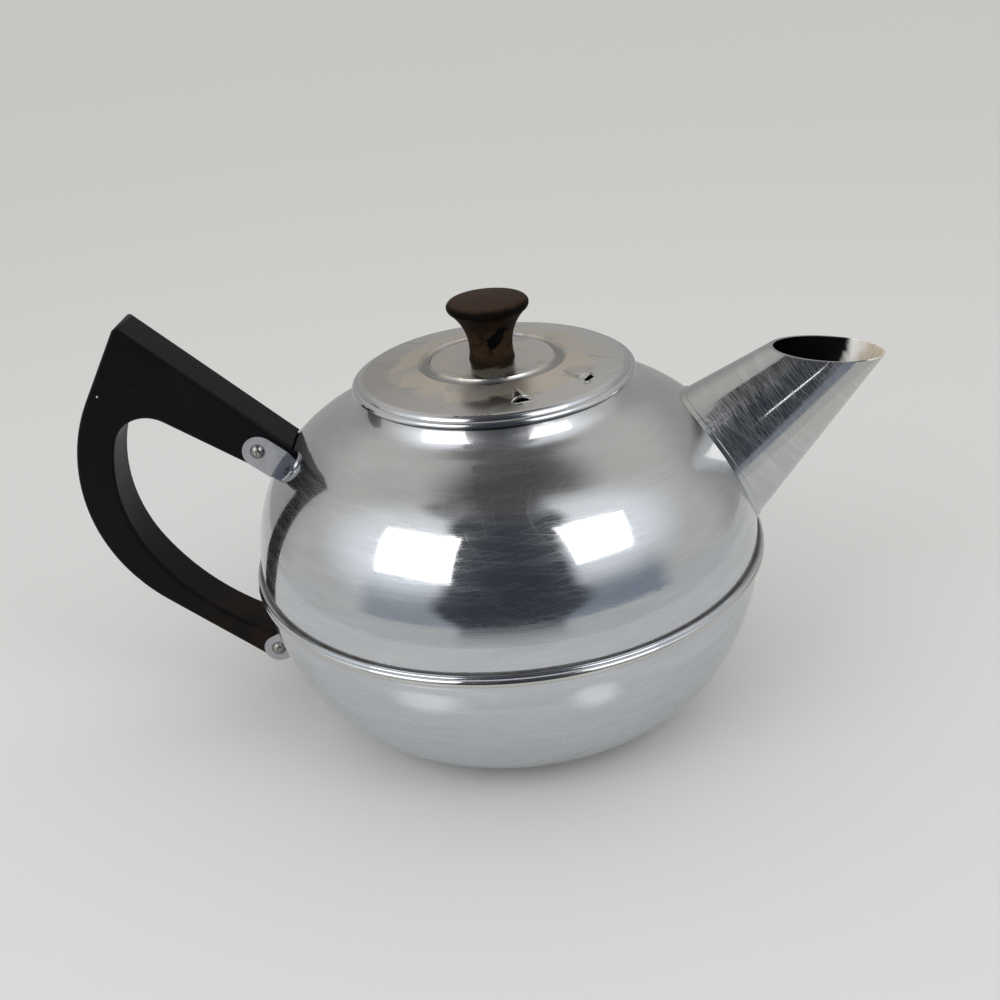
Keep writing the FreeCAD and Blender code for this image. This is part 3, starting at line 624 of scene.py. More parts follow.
@dataclass(frozen=True)
class SatinLid:
    """The lid's satin plate: turning rings, hard-edged tea stains and a brown bloom round the groove."""

    name: str = "lid_satin"
    tint: Colour = (0.53, 0.512, 0.478)
    # A lighter colour painted on the right and back, where light falls more.
    bright: Colour = (0.7, 0.695, 0.68)
    bright_side: Point = (0.8, 0.6, 0.0)
    bright_reach: Span = (-30.0, 32.0)
    film: Colour = (0.46, 0.447, 0.422)
    patches: Grain = Grain((17, 12, 12), (6, 3, 0), (0, 0, 25), detail=5.0, roughness=0.6, bend=0.8)
    patch_edge: Span = (0.56, 0.575)
    bloom: Colour = (0.62, 0.54, 0.44)
    drift: Grain = Grain((13, 13, 13), (4, 8, 0), detail=1.5, roughness=0.4, bend=0.7)
    drift_reach: float = 22.0
    drift_level: Span = (0.28, 0.42)
    stain: Band = (18.5, 30.0, 1.6)
    disc_outer: Span = (17.5, 13.5)
    disc_inner: Span = (8.5, 10.5)
    # The painted shade in the groove.
    groove_shade: Colour = (0.26, 0.265, 0.27)
    groove_shade_ring: Band = (18.4, 20.9, 0.5)
    rim: Colour = (0.62, 0.625, 0.63)
    rim_start: Span = (37.5, 38.7)
    rim_gloss: float = 0.15
    # The colour and place of the painted shade under the rim's roll.
    dark_ring: Colour = (0.03, 0.026, 0.022)
    shade_out: Span = (38.6, 39.0)
    shade_up: Span = (105.9, 105.7)
    speck: Colour = (0.12, 0.1, 0.08)
    specks: Specks = (Grain((6.5, 6.5, 6.5), (1, 1, 0)), 0.04, 0.2)
    rings: Grain = Grain((1, 1, 1), detail=3.0, roughness=0.6)
    rings_per_metre: float = 2600.0
    ring_depth: float = 0.0015
    ripple: Grain = Grain((12, 12, 12), detail=3.0, bend=0.6)
    ripple_depth: float = 0.015
    gloss: float = 0.2

    def make(self) -> Material:
        """Builds the material.

        Returns:
            The finished material.
        """
        kit = NodeKit(self.name)
        radius = kit.out_from_axis()
        height = kit.axes()[2]
        # Painted light: the plate turns lighter towards the right and back.
        lit_side = kit.measure("DOT_PRODUCT", kit.place, self.bright_side).rise(*metres(self.bright_reach))
        patches = kit.noise(self.patches).rise(*self.patch_edge)
        drift = kit.noise(self.drift)
        reach = radius + (drift - 0.5) * (self.drift_reach * MM)
        stained = reach.band(*metres(self.stain)) * drift.rise(*self.drift_level)
        disc = reach.rise(*metres(self.disc_outer)) * reach.rise(*metres(self.disc_inner))
        brown = (stained * 0.75).most(disc * 0.5)
        hem = radius.rise(*metres(self.rim_start))
        # Painted shade on the underside of the rim.
        under = radius.rise(*metres(self.shade_out)) * height.rise(*metres(self.shade_up))
        rows = kit.node("ShaderNodeCombineXYZ", None, {0: radius * self.rings_per_metre}).outputs[0]
        rings = kit.noise(self.rings, rows)
        satin = self.gloss + patches * 0.06 + brown * 0.12 + (rings - 0.5) * 0.06
        return kit.surface(
            Base_Color=kit.layers(
                self.tint,
                (lit_side, self.bright),
                (brown, self.bloom),
                (patches * 0.55, self.film),
                # Painted shade in the groove.
                (radius.band(*metres(self.groove_shade_ring)) * 0.8, self.groove_shade),
                (hem, self.rim),
                # Painted shade under the rim.
                (under, self.dark_ring),
                (kit.dots(*self.specks) * 0.6, self.speck),
            ),
            Metallic=1.0 - brown * 0.2,
            Roughness=satin - hem * (satin - self.rim_gloss),
            Normal=kit.bumps((rings, self.ring_depth), (kit.noise(self.ripple), self.ripple_depth)),
        )


@dataclass(frozen=True)
class DullMetal:
    """Small plain metal pieces with a patchy film, dirt and rubbed marks."""

    name: str
    tint: Colour
    dirt: Colour
    gloss: float
    dirtiness: float
    # The dark bluish reflection painted on polished faces.
    painted_reflection: Colour = (0.13, 0.14, 0.19)
    polish_gloss: float = 0.1
    clouds: Grain = Grain((3.2, 3.2, 3.2), (1, 2, 3), detail=4.0, roughness=0.65, bend=0.5)
    cloud_depth: float = 0.02
    lines: Grain = Grain((6, 1.2, 0.3), turn=(0, 38, 0), roughness=0.6)
    line_depth: float = 0.003

    def make(self) -> Material:
        """Builds the material.

        Returns:
            The finished material.
        """
        kit = NodeKit(self.name)
        clouds = kit.noise(self.clouds)
        lines = kit.noise(self.lines)
        dirt = (clouds.rise(0.52, 0.7) * self.dirtiness).most(self.dark_ring(kit))
        mirror = self.mirror(kit)
        dull = self.gloss + (clouds - 0.5) * 0.2 + lines.rise(0.6, 0.7) * 0.08 + dirt * 0.2
        return kit.surface(
            # On the polished foot a dark bluish reflection is painted.
            Base_Color=kit.layers(self.tint, (dirt, self.dirt), (mirror, self.painted_reflection)),
            Metallic=1.0 - dirt * 0.5,
            Roughness=dull - mirror * (dull - self.polish_gloss),
            Normal=kit.bumps((lines, self.line_depth), (clouds, self.cloud_depth)),
        )

    def dark_ring(self, kit: NodeKit) -> Value | float:
        """Where a dark ring lies, none here."""
        return 0.0

    def mirror(self, kit: NodeKit) -> Value | float:
        """Where the metal is polished and a dark reflection is painted, nowhere here."""
        return 0.0


@dataclass(frozen=True)
class TabMetal(DullMetal):
    """The handle's tabs: dull legs with a dark ring round each screw, and polished feet with a dark bluish
    reflection painted on them.
    """

    screws: tuple[Span, ...] = ((-71.14, 89.6), (-76.37, 20.75))
    ring: Band = (1.9, 2.35, 0.15)
    foot_facing: Point = (-0.661, -0.232, 0.714)
    foot_turn: Span = (0.82, 0.95)

    def dark_ring(self, kit: NodeKit) -> Value | float:
        """The rings round the screws.

        Args:
            kit: The material's nodes.

        Returns:
            A mask that is 1 in the rings.
        """
        x, _, z = kit.axes()
        rings = None
        # A dark ring round each screw's head.
        for across, up in self.screws:
            aside = x - across * MM
            above = z - up * MM
            ring = (aside * aside + above * above).root().band(*metres(self.ring)) * 0.85
            rings = ring if rings is None else rings.most(ring)
        return rings

    def mirror(self, kit: NodeKit) -> Value | float:
        """The near upper foot's face, where the dark reflection is painted."""
        return kit.facing(self.foot_facing).rise(*self.foot_turn)


@dataclass(frozen=True)
class BlackMoulding:
    """The handle's black plastic: satin, browned near its lower end, with dust and fine scratches."""

    name: str = "handle_moulding"
    black: Colour = (0.0042, 0.0044, 0.0052)
    brown: Colour = (0.02, 0.0105, 0.007)
    brown_end: tuple[Point, float] = ((-80.0, -7.5, 30.0), 26.0)
    brown_arm: tuple[Point, float] = ((-91.0, -7.5, 106.0), 12.0)
    dust: Colour = (0.1, 0.095, 0.09)
    specks: Specks = (Grain((4.2, 4.2, 4.2)), 0.035, 0.16)
    chip: Colour = (0.7, 0.68, 0.64)
    nick: tuple[Point, float] = ((-114.8, -7.5, 110.1), 0.4)
    clouds: Grain = Grain((13, 13, 13), detail=4.0, roughness=0.6, bend=0.5)
    cloud_depth: float = 0.03
    skin: Grain = Grain((0.5, 0.5, 0.5), detail=3.0, roughness=0.6)
    skin_depth: float = 0.005
    lines: Grain = Grain((7, 1.5, 0.28), turn=(0, 52, 0), roughness=0.6)
    gloss: float = 0.36

    def make(self) -> Material:
        """Builds the material.

        Returns:
            The finished material.
        """
        kit = NodeKit(self.name)
        clouds = kit.noise(self.clouds)
        lines = kit.noise(self.lines).rise(0.62, 0.7)
        end = kit.ball(*self.brown_end) * clouds.rise(0.3, 0.6)
        arm = kit.ball(*self.brown_arm) * clouds.rise(0.42, 0.7) * 0.5
        return kit.surface(
            Base_Color=kit.layers(
                self.black,
                (end.most(arm) * 0.85, self.brown),
                (kit.dots(*self.specks) * 0.4, self.dust),
                (lines * 0.05, self.dust),
                (kit.ball(*self.nick), self.chip),
            ),
            Roughness=self.gloss + (clouds - 0.5) * 0.16 + lines * 0.06,
            Specular_IOR_Level=0.09,
            Normal=kit.bumps((kit.noise(self.skin), self.skin_depth), (clouds, self.cloud_depth)),
        )


@dataclass(frozen=True)
class BrownMoulding:
    """The knob's brown plastic: a rubbed top, a rim side painted black as shade, a brown stem and a black
    blotch on its front.
    """

    name: str = "knob_moulding"
    top: Colour = (0.042, 0.0262, 0.0175)
    crown: Span = (126.8, 128.0)
    black: Colour = (0.003, 0.003, 0.003)
    # The rim's side, painted black as shade.
    rim: Band = (124.4, 127.5, 0.7)
    stem: Colour = (0.013, 0.0078, 0.005)
    worn: Colour = (0.042, 0.026, 0.015)
    wear: Span = (122.5, 117.0)
    pale: Colour = (0.07, 0.05, 0.038)
    foot: Span = (113.5, 110.5)
    blotch: Grain = Grain((2.3, 5.0, 5.0), (2.3, -9.0, 118.1), (0, 40, 0))
    clouds: Grain = Grain((4, 4, 4), detail=5.0, roughness=0.65, bend=0.6)
    cloud_depth: float = 0.04
    skin: Grain = Grain((0.6, 0.6, 0.6), detail=3.0, roughness=0.6)
    skin_depth: float = 0.01
    gloss: float = 0.36

    def make(self) -> Material:
        """Builds the material.

        Returns:
            The finished material.
        """
        kit = NodeKit(self.name)
        height = kit.axes()[2]
        clouds = kit.noise(self.clouds)
        upper = (height + (clouds - 0.5) * MM).rise(*metres(self.crown))
        away = kit.measure("LENGTH", kit.mapped(self.blotch))
        blot = (away + (clouds - 0.5) * 1.6).rise(1.0, 0.9)
        foot = height.rise(*metres(self.foot)) * clouds.rise(0.3, 0.6)
        rubbed = height.rise(*metres(self.wear)) * clouds.rise(0.3, 0.55)
        return kit.surface(
            Base_Color=kit.layers(
                self.stem,
                (clouds.rise(0.35, 0.75) * 0.3, self.top),
                (rubbed * 0.8, self.worn),
                (upper, self.top),
                (clouds.rise(0.62, 0.72) * 0.2, self.pale),
                (clouds.rise(0.5, 0.36) * 0.3, self.black),
                # Painted shade: the rim's side is black.
                (height.band(*metres(self.rim)) * 0.8, self.black),
                (blot.most(foot * 0.7), self.black),
            ),
            Roughness=self.gloss + (clouds - 0.5) * 0.2 - blot * 0.14,
            Specular_IOR_Level=0.012,
            Normal=kit.bumps((kit.noise(self.skin), self.skin_depth), (clouds, self.cloud_depth)),
        )


@dataclass(frozen=True)
class SurroundTones:
    """The tones that the chrome mirrors, by bearing from -Y towards +X and by height, in degrees."""

    name: str = "soft_surround"
    eye_height: float = 60.0
    wall: Colour = (0.6, 0.6, 0.59)
    back: tuple[Colour, Colour] = ((0.4, 0.395, 0.39), (0.64, 0.63, 0.62))
    back_heights: Span = (20.0, 46.0)
    back_depth: Span = (0.1, 0.5)
    ceiling: Colour = (0.15, 0.15, 0.15)
    ceiling_heights: Span = (63.0, 80.0)
    ceiling_lean: tuple[Span, float] = ((-60.0, 60.0), 6.0)
    glow: Colour = (1.0, 1.06, 1.14)
    glow_centres: tuple[Span, Span] = ((-49.0, 37.0), (51.0, 43.0))
    glow_reach: Span = (44.0, 16.0)
    glow_squeeze: float = 0.8
    beam: Colour = (0.085, 0.085, 0.09)
    side_beam: Band = (-78.0, -18.0, 8.0)
    side_beam_heights: Span = (59.0, 66.0)
    mid_beam: tuple[float, Span] = (0.03, (0.26, 0.08))
    mid_beam_heights: Span = (58.0, 68.0)
    dim: Colour = (0.2, 0.245, 0.31)
    dim_left: Span = (-64.0, -55.0)
    dim_right: Span = (72.0, 60.0)
    dim_heights: Span = (20.0, 0.0)
    dim_lean: Span = (-20.0, 30.0)
    table_heights: Span = (-8.1, -8.9)
    dark: Colour = (0.036, 0.042, 0.058)
    dark_bearings: Band = (-26.0, 29.0, 4.0)
    dark_top: Span = (76.0, 60.0)
    dark_foot: Span = (-14.5, -6.0)
    flare_top: Span = (44.0, 60.0)
    flare_middle: Band = (-1.0, 10.0, 3.0)
    flare_foot: Span = (-3.0, -9.0)

    def make(self) -> Material:
        """Builds the material.

        Returns:
            The finished material, which is not sampled as a lamp.
        """
        kit = NodeKit(self.name)
        seen = kit.vector("SUBTRACT", kit.place, (0.0, 0.0, self.eye_height * MM))
        x, y, z = kit.axes(kit.vector("NORMALIZE", seen))
        degrees = math.degrees(1.0)
        bearing = x.math("ARCTAN2", x, y * -1.0) * degrees
        height = z.math("ARCSINE", z) * degrees
        left, right = (self.halo(bearing, height, *centre) for centre in self.glow_centres)
        lean, lift = self.ceiling_lean
        ceiling = (height + bearing.rise(*lean) * lift).rise(*self.ceiling_heights)
        side_beam = bearing.band(*self.side_beam) * height.rise(*self.side_beam_heights)
        mid, spread = self.mid_beam
        mid_beam = abs(x - mid).rise(*spread) * height.rise(*self.mid_beam_heights)
        below = bearing.rise(*self.dim_left) * bearing.rise(*self.dim_right) * height.rise(*self.dim_heights)
        flare = height.rise(*self.flare_top) * 0.35 + height.band(*self.flare_middle) * 0.12
        flare = flare - height.rise(*self.flare_foot) * 0.4
        centre = (bearing * (1.0 - flare)).band(*self.dark_bearings)
        centre = centre * height.rise(*self.dark_top) * height.rise(*self.dark_foot)
        tone = kit.layers(
            self.wall,
            (y.rise(*self.back_depth), kit.mix(height.rise(*self.back_heights), *self.back)),
            (ceiling, self.ceiling),
            (left.most(right) * y.rise(*reversed(self.back_depth)), self.glow),
            (side_beam * 0.7, self.beam),
            (below * (0.62 + bearing.rise(*self.dim_lean) * 0.26), self.dim),
            (height.rise(*self.table_heights), self.wall),
            (mid_beam, self.beam),
            (centre, self.dark),
        )
        material = kit.glow(tone, 1.0)
        material.cycles.emission_sampling = "NONE"
        return material

    def halo(self, bearing: Value, height: Value, across: float, up: float) -> Value:
        """The glow on the wall round a panel.

        Args:
            bearing: The bearing, in degrees.
            height: The height, in degrees.
            across: The panel's own bearing.
            up: Its own height.

        Returns:
            A value from 0 to 1.
        """
        aside = (bearing - across) * self.glow_squeeze
        above = height - up
        return (aside * aside + above * above).root().rise(*self.glow_reach)


# The studio


@dataclass
class Studio:
    """A plain pale floor, two soft light panels, what only the gloss shows, and the camera."""

    floor_side: float = 60000.0
    floor_drop: float = 0.2
    floor_tone: Colour = (0.79, 0.785, 0.775)
    room_tone: Colour = (0.72, 0.72, 0.71)
    panel_tone: Colour = (0.97, 0.985, 1.0)
    panel_strength: float = 2.6
    panel_reach: float = 600.0
    panels: tuple[tuple[str, tuple[Span, ...]], ...] = (
        ("panel_left", ((-69.3, 652), (-25.0, 832), (-22.7, 277), (-57.2, 247))),
        ("panel_right", ((31.0, 914), (70.5, 645), (58.4, 311), (31.0, 330))),
    )
    wall_radius: float = 640.0
    wall_height: float = 1900.0
    wall_sides: int = 96
    apron_radius: float = 235.0
    glint_ends: tuple[Point, Point] = ((84.0, -125.4, 142.6), (113.0, -122.4, 148.2))
    glint_facing: Point = (-0.11, 0.912, -0.4)
    glint_width: float = 4.5
    flag_tone: Colour = (0.085, 0.085, 0.09)
    flag_place: Point = (2.0, -42.0, 280.0)
    flag_size: Span = (70.0, 116.0)
    shines: tuple[tuple[str, float, float, Span], ...] = (
        ("shine_left", -27.0, 116.0, (62.0, 40.0)),
        ("shine_right", 25.0, 110.0, (40.0, 36.0)),
    )
    shine_share: float = 0.75
    shine_strength: float = 1.1
    gloss_only: tuple[Ray, ...] = tuple(Ray)
    lens: float = 42.87
    sensor: float = 36.0
    clip_start: float = 10.0
    stand: Point = (17.286, -327.644, 226.7)
    right: Point = (0.996262, 0.015376, -0.084997)
    up: Point = (0.069208, 0.446681, 0.892012)
    forward: Point = (-0.051682, 0.894560, -0.443948)

    def build(self) -> None:
        """Sets up the whole studio."""
        self.set_camera()
        self.light_room()
        self.lay_floor()
        self.hang_surround()
        self.hang_glint()
        self.hang_flag()
        for shine in self.shines:
            self.lay_shine(*shine)
        for panel in self.panels:
            self.hang_panel(*panel)

    def set_camera(self) -> None:
        """Places the camera at the photograph's viewpoint."""
        data = bpy.data.cameras.new("camera")
        data.lens = self.lens
        data.sensor_width = self.sensor
        data.clip_start = self.clip_start * MM
        camera = bpy.data.objects.new("camera", data)
        back = -Vector(self.forward)
        columns = Matrix((self.right, self.up, back)).transposed().to_4x4()
        camera.matrix_world = Matrix.Translation(metres(self.stand)) @ columns
        bpy.context.collection.objects.link(camera)
        bpy.context.scene.camera = camera
        bpy.context.scene.view_settings.view_transform = "Standard"

    def light_room(self) -> None:
        """Gives the world the pale tone of a plain studio's walls."""
        world = bpy.data.worlds.new("room")
        world.use_nodes = True
        plain = world.node_tree.nodes["Background"]
        plain.inputs["Color"].default_value = (*self.room_tone, 1.0)
        plain.inputs["Strength"].default_value = 1.0
        world.cycles.sampling_method = "NONE"
        bpy.context.scene.world = world

    @staticmethod
    def show(name: str, mesh: Mesh, material: Material, *hidden: Ray) -> None:
        """Puts a stage object into the scene.

        Args:
            name: The object's name.
            mesh: Its mesh, which is freed.
            material: Its material.
            hidden: The rays that don't see it.
        """
        thing = to_object(name, mesh, material)
        for ray in hidden:
            setattr(thing, ray.value, False)
        LOG.info("%s is on the stage", name)

    @staticmethod
    def card(width: float, depth: float) -> Mesh:
        """A flat card that lies about the origin.

        Args:
            width: Its size along X, in millimetres.
            depth: Its size along Y, in millimetres.

        Returns:
            The card's mesh.
        """
        mesh = bmesh.new()
        bmesh.ops.create_grid(mesh, x_segments=1, y_segments=1, size=MM / 2)
        bmesh.ops.scale(mesh, verts=mesh.verts[:], vec=(width, depth, 1))
        return mesh

    @staticmethod
    def around(bearing: float, reach: float, height: float) -> Point:
        """A place by its bearing from -Y towards +X, its reach from the pot's axis and its height."""
        turn = math.radians(bearing)
        return reach * math.sin(turn), -reach * math.cos(turn), height

    def lay_floor(self) -> None:
        """Lays the pale floor just below the pot."""
        mesh = self.card(self.floor_side, self.floor_side)
        move(mesh, place=(0, 0, -self.floor_drop))
        material = NodeKit("pale_floor").surface(
            Base_Color=self.floor_tone, Roughness=0.6, Specular_IOR_Level=0.0,
        )
        self.show("floor", mesh, material)

    def hang_panel(self, name: str, corners: tuple[Span, ...]) -> None:
        """Hangs one soft light panel inside the surround.

        Args:
            name: The panel's name.
            corners: Each corner's bearing, in degrees, and height, in millimetres.
        """
        mesh = bmesh.new()
        points = []
        for bearing, height in corners:
            place = self.around(bearing, self.panel_reach, height)
            points += bmesh.ops.create_vert(mesh, co=metres(place))["vert"]
        bmesh.ops.contextual_create(mesh, geom=points)
        material = NodeKit(name).glow(self.panel_tone, self.panel_strength)
        self.show(name, mesh, material, Ray.CAMERA, Ray.SHADOW)

    def hang_glint(self) -> None:
        """Hangs the narrow lamp that draws the fine bright line along the spout, which only gloss shows."""
        start, end = (Vector(place) * MM for place in self.glint_ends)
        along = (end - start).normalized()
        aside = along.cross(Vector(self.glint_facing)).normalized()
        turned = Matrix((along, aside, along.cross(aside))).transposed().to_4x4()
        mesh = self.card((end - start).length / MM, self.glint_width)
        middle = Matrix.Translation((start + end) / 2)
        bmesh.ops.transform(mesh, verts=mesh.verts[:], matrix=middle @ turned)
        material = NodeKit("glint_lamp").glow(self.panel_tone, self.panel_strength)
        self.show("glint_lamp", mesh, material, *self.gloss_only)

    def hang_surround(self) -> None:
        """Hangs a round screen with a lid that only gloss shows, with the tones that the chrome mirrors."""
        mesh = bmesh.new()
        radius = self.wall_radius * MM
        bmesh.ops.create_cone(
            mesh, cap_ends=True, segments=self.wall_sides, radius1=radius, radius2=radius,
            depth=self.wall_height * MM,
        )
        move(mesh, place=(0, 0, self.wall_height / 2))
        bottom = [face for face in mesh.faces if face.calc_center_median().z < MM]
        bmesh.ops.inset_region(mesh, faces=bottom, thickness=(self.wall_radius - self.apron_radius) * MM)
        bmesh.ops.delete(mesh, geom=bottom, context="FACES_ONLY")
        self.show("soft_surround", mesh, SurroundTones().make(), *self.gloss_only)

    def hang_flag(self) -> None:
        """Hangs a dark card above the pot that only gloss shows, for the dark side of the spout's top."""
        mesh = self.card(*self.flag_size)
        move(mesh, place=self.flag_place)
        self.show("dark_flag", mesh, NodeKit("dark_flag").glow(self.flag_tone, 1.0), *self.gloss_only)

    def lay_shine(self, name: str, bearing: float, reach: float, size: Span) -> None:
        """Lays a soft bright patch on the floor that only gloss shows.

        Args:
            name: The patch's name.
            bearing: Its bearing from -Y towards +X, in degrees.
            reach: How far it lies from the pot's axis, in millimetres.
            size: Its width and depth, in millimetres.
        """
        place = self.around(bearing, reach, self.floor_drop)
        mesh = self.card(*size)
        move(mesh, turned("Z", bearing), place)
        kit = NodeKit(name)
        spot = Grain((size[0] / 2, size[1] / 2, 1), place, (0, 0, bearing))
        soft = kit.measure("LENGTH", kit.mapped(spot)).rise(1.0, 0.25) * self.shine_share
        clear = kit.node("ShaderNodeBsdfTransparent").outputs[0]
        lit = kit.light(self.panel_tone, self.shine_strength)
        self.show(name, mesh, kit.end(kit.blend(soft, clear, lit)), *self.gloss_only)


# The pieces


def polar(centre: Span, reach: float, angle: float) -> Span:
    """The point at a reach and an angle, in degrees from outwards, from a centre."""
    turn = math.radians(angle)
    return centre[0] + reach * math.cos(turn), centre[1] + reach * math.sin(turn)


@dataclass
class ProfilePen:
    """Draws a line in the upright plane through the pot's axis, in millimetres, and turns it round."""

    mesh: Mesh = field(default_factory=bmesh.new)
    tip: bmesh.types.BMVert | None = None

    def start(self, out: float, up: float) -> None:
        """Sets the pen down."""
        self.tip = bmesh.ops.create_vert(self.mesh, co=(out * MM, 0, up * MM))["vert"][0]

    def line(self, *points: Span) -> None:
        """Draws straight lines.

        Args:
            points: Each line's end, out and up.
        """
        for out, up in points:
            grown = bmesh.ops.extrude_vert_indiv(self.mesh, verts=[self.tip])["verts"]
            step = Vector((out * MM, 0, up * MM)) - self.tip.co
            bmesh.ops.translate(self.mesh, verts=grown, vec=step)
            self.tip = grown[0]

    def arc(self, centre: Span, turn: float, steps: int) -> None:
        """Draws an arc round a centre.

        Args:
            centre: The centre, out and up.
            turn: How far to go round, in degrees, counter-clockwise with outwards to the right.
            steps: The number of straight steps.
        """
        grown = bmesh.ops.spin(
            self.mesh, geom=[self.tip], cent=(centre[0] * MM, 0, centre[1] * MM), axis=(0, -1, 0),
            angle=math.radians(turn), steps=steps,
        )["geom_last"]
        self.tip = next(item for item in grown if isinstance(item, bmesh.types.BMVert))

    def turn(self, steps: int) -> Mesh:
        """Turns the line into a closed shell about the pot's axis.

        Args:
            steps: The number of steps round.

        Returns:
            The shell's mesh, with its faces outwards.
        """
        bmesh.ops.spin(
            self.mesh, geom=self.mesh.verts[:] + self.mesh.edges[:], cent=(0, 0, 0), axis=(0, 0, 1),
            angle=math.tau, steps=steps, use_merge=True,
        )
        bmesh.ops.remove_doubles(self.mesh, verts=self.mesh.verts[:], dist=SAME_POINT)
        bmesh.ops.recalc_face_normals(self.mesh, faces=self.mesh.faces[:])
        return self.mesh


@dataclass
class Assembly:
    """What every sub-assembly does with its CAD nodes and its new meshes."""

    frame: dict[str, Any]
    join_gap: float = 0.002
    flat_turn: float = 0.3

    def wear(self, material: Material, *nodes: str) -> None:
        """Gives CAD nodes a material.

        Args:
            material: The material.
            nodes: The nodes' names.
        """
        for node in nodes:
            for place in self.frame["nodes"][node].material_slots:
                place.material = material
            LOG.info("%s wears %s", node, material.name)

    def settle(
        self, name: str, mesh: Mesh, material: Material, slot: Slot, *nodes: str,
        body: Body = Body.POT, sharp: float = 38.0,
    ) -> bpy.types.Object:
        """Makes a mesh a piece of the teapot.

        Args:
            name: The piece's name.
            mesh: Its mesh, which is freed.
            material: Its material.
            slot: The record's slot that the material stands for. It is not used.
            nodes: The CAD nodes that it replaces.
            body: The body that carries it.
            sharp: The angle, in degrees, past which an edge stays crisp.

        Returns:
            The piece's object.
        """
        for face in mesh.faces:
            face.smooth = True
        piece = to_object(name, mesh, material)
        piece.data.set_sharp_from_angle(angle=math.radians(sharp))
        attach(piece, body.value)
        if nodes:
            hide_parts(*nodes)
        LOG.info("%s rides on %s", name, body.value)
        return piece

    def merged(self, node: str) -> Mesh:
        """A copy of a CAD node's mesh, joined up, with its flat faces whole.

        Args:
            node: The node's name.

        Returns:
            The copy.
        """
        mesh = bmesh.new()
        mesh.from_mesh(self.frame["nodes"][node].data)
        bmesh.ops.remove_doubles(mesh, verts=mesh.verts[:], dist=self.join_gap * MM)
        bmesh.ops.dissolve_limit(
            mesh, angle_limit=math.radians(self.flat_turn), verts=mesh.verts[:], edges=mesh.edges[:],
        )
        return mesh


@dataclass
class Pot(Assembly):
    """The chromed pot: its upper shell as imported, and its bowl with the rolled seam."""

    middle: Point = (0.0, 0.0, 50.0)
    body_radius: float = 76.1
    sheet: float = 0.8
    seam_height: float = 50.8
    low_ridge: Point = (0.55, -0.55, 1.33)
    low_ends: Span = (-110.0, 50.0)
    high_ridge: Point = (0.85, 0.95, 0.734)
    high_ends: Span = (-40.9, 150.0)
    crevice: tuple[Span, ...] = ((-0.4, 0.9), (-0.4, -0.6), (-0.8, -0.6))
    bowl_drop: float = 1.95
    bowl_arc: float = 60.0
    base_arc: float = 37.1
    hem_angle: float = 1.55
    hem_width: float = 0.3
    hem_depth: float = 0.05
    hem_steps: int = 3
    base_steps: int = 16
    arc_steps: int = 14
    steps_round: int = 400
    bowl_sharp: float = 30.0

    def build(self) -> None:
        """Dresses the upper shell and builds the bowl."""
        chrome = PolishedChrome("pot_chrome_plate", self.middle, (0, 0, 0)).make()
        self.wear(chrome, "upper_shell")
        self.settle("bowl", self.turn_bowl(), chrome, Slot.CHROME, "lower_shell", sharp=self.bowl_sharp)

    def turn_bowl(self) -> Mesh:
        """Turns the bowl: flat base, two arcs, a pressed hem line, the seam bead and the inside.

        Returns:
            The bowl's mesh.
        """
        top = self.seam_height - self.bowl_drop
        bend = math.asin((top - self.base_arc) / (self.bowl_arc - self.base_arc))
        flat = self.body_radius - self.bowl_arc + (self.bowl_arc - self.base_arc) * math.cos(bend)
        bowl_centre = (self.body_radius - self.bowl_arc, top)
        base_centre = (flat, self.base_arc)
        bend = math.degrees(bend)
        pen = ProfilePen()
        pen.start(0, 0)
        pen.line((flat, 0))
        pen.arc(base_centre, 90 - bend, self.base_steps)
        pen.arc(bowl_centre, bend - self.hem_angle - self.hem_width, self.arc_steps)
        pen.line(
            polar(bowl_centre, self.bowl_arc - self.hem_depth, -self.hem_angle),
            polar(bowl_centre, self.bowl_arc, self.hem_width - self.hem_angle),
        )
        pen.arc(bowl_centre, self.hem_angle - self.hem_width, self.hem_steps)
        self.ridge(pen, self.low_ridge, self.low_ends)
        self.ridge(pen, self.high_ridge, self.high_ends)
        pen.line(*((self.body_radius + out, self.seam_height + up) for out, up in self.crevice))
        pen.line((self.body_radius - self.sheet, top))
        pen.arc(bowl_centre, -bend, self.arc_steps)
        pen.arc(base_centre, bend - 90, self.base_steps)
        pen.line((0, self.sheet))
        return pen.turn(self.steps_round)

    def ridge(self, pen: ProfilePen, ridge: Point, ends: Span) -> None:
        """Draws one round ridge of the seam.

        Args:
            pen: The pen, which goes straight to the ridge's start.
            ridge: Its centre from the seam's own, out and up, and its radius.
            ends: Where it starts and ends, in degrees from outwards.
        """
        out, up, radius = ridge
        centre = (self.body_radius + out, self.seam_height + up)
        pen.line(polar(centre, radius, ends[0]))
        pen.arc(centre, ends[1] - ends[0], self.arc_steps)


@dataclass
class Spout(Assembly):
    """The conical spout."""

    root: Point = (50.32, 0.0, 63.39)
    lean: float = 49.9

    def build(self) -> None:
        """Dresses the spout."""
        chrome = ConeChrome(
            "spout_chrome_plate", self.root, (0, self.lean, 0),
            tint=(0.535, 0.55, 0.57), upper_reflection_tint=(0.54, 0.535, 0.525), veil=0.04,
            rings=replace(PolishedChrome.rings, size=(45, 45, 0.45)), ring_depth=0.004,
            hair_edge=0.6, hair_share=0.42, hair_tilts=((1, 2), (-4, -6), (6, 7), (-9, 12)),
            hair_size=(8.0, 8.0, 0.21),
        )
        self.wear(chrome.make(), "spout")


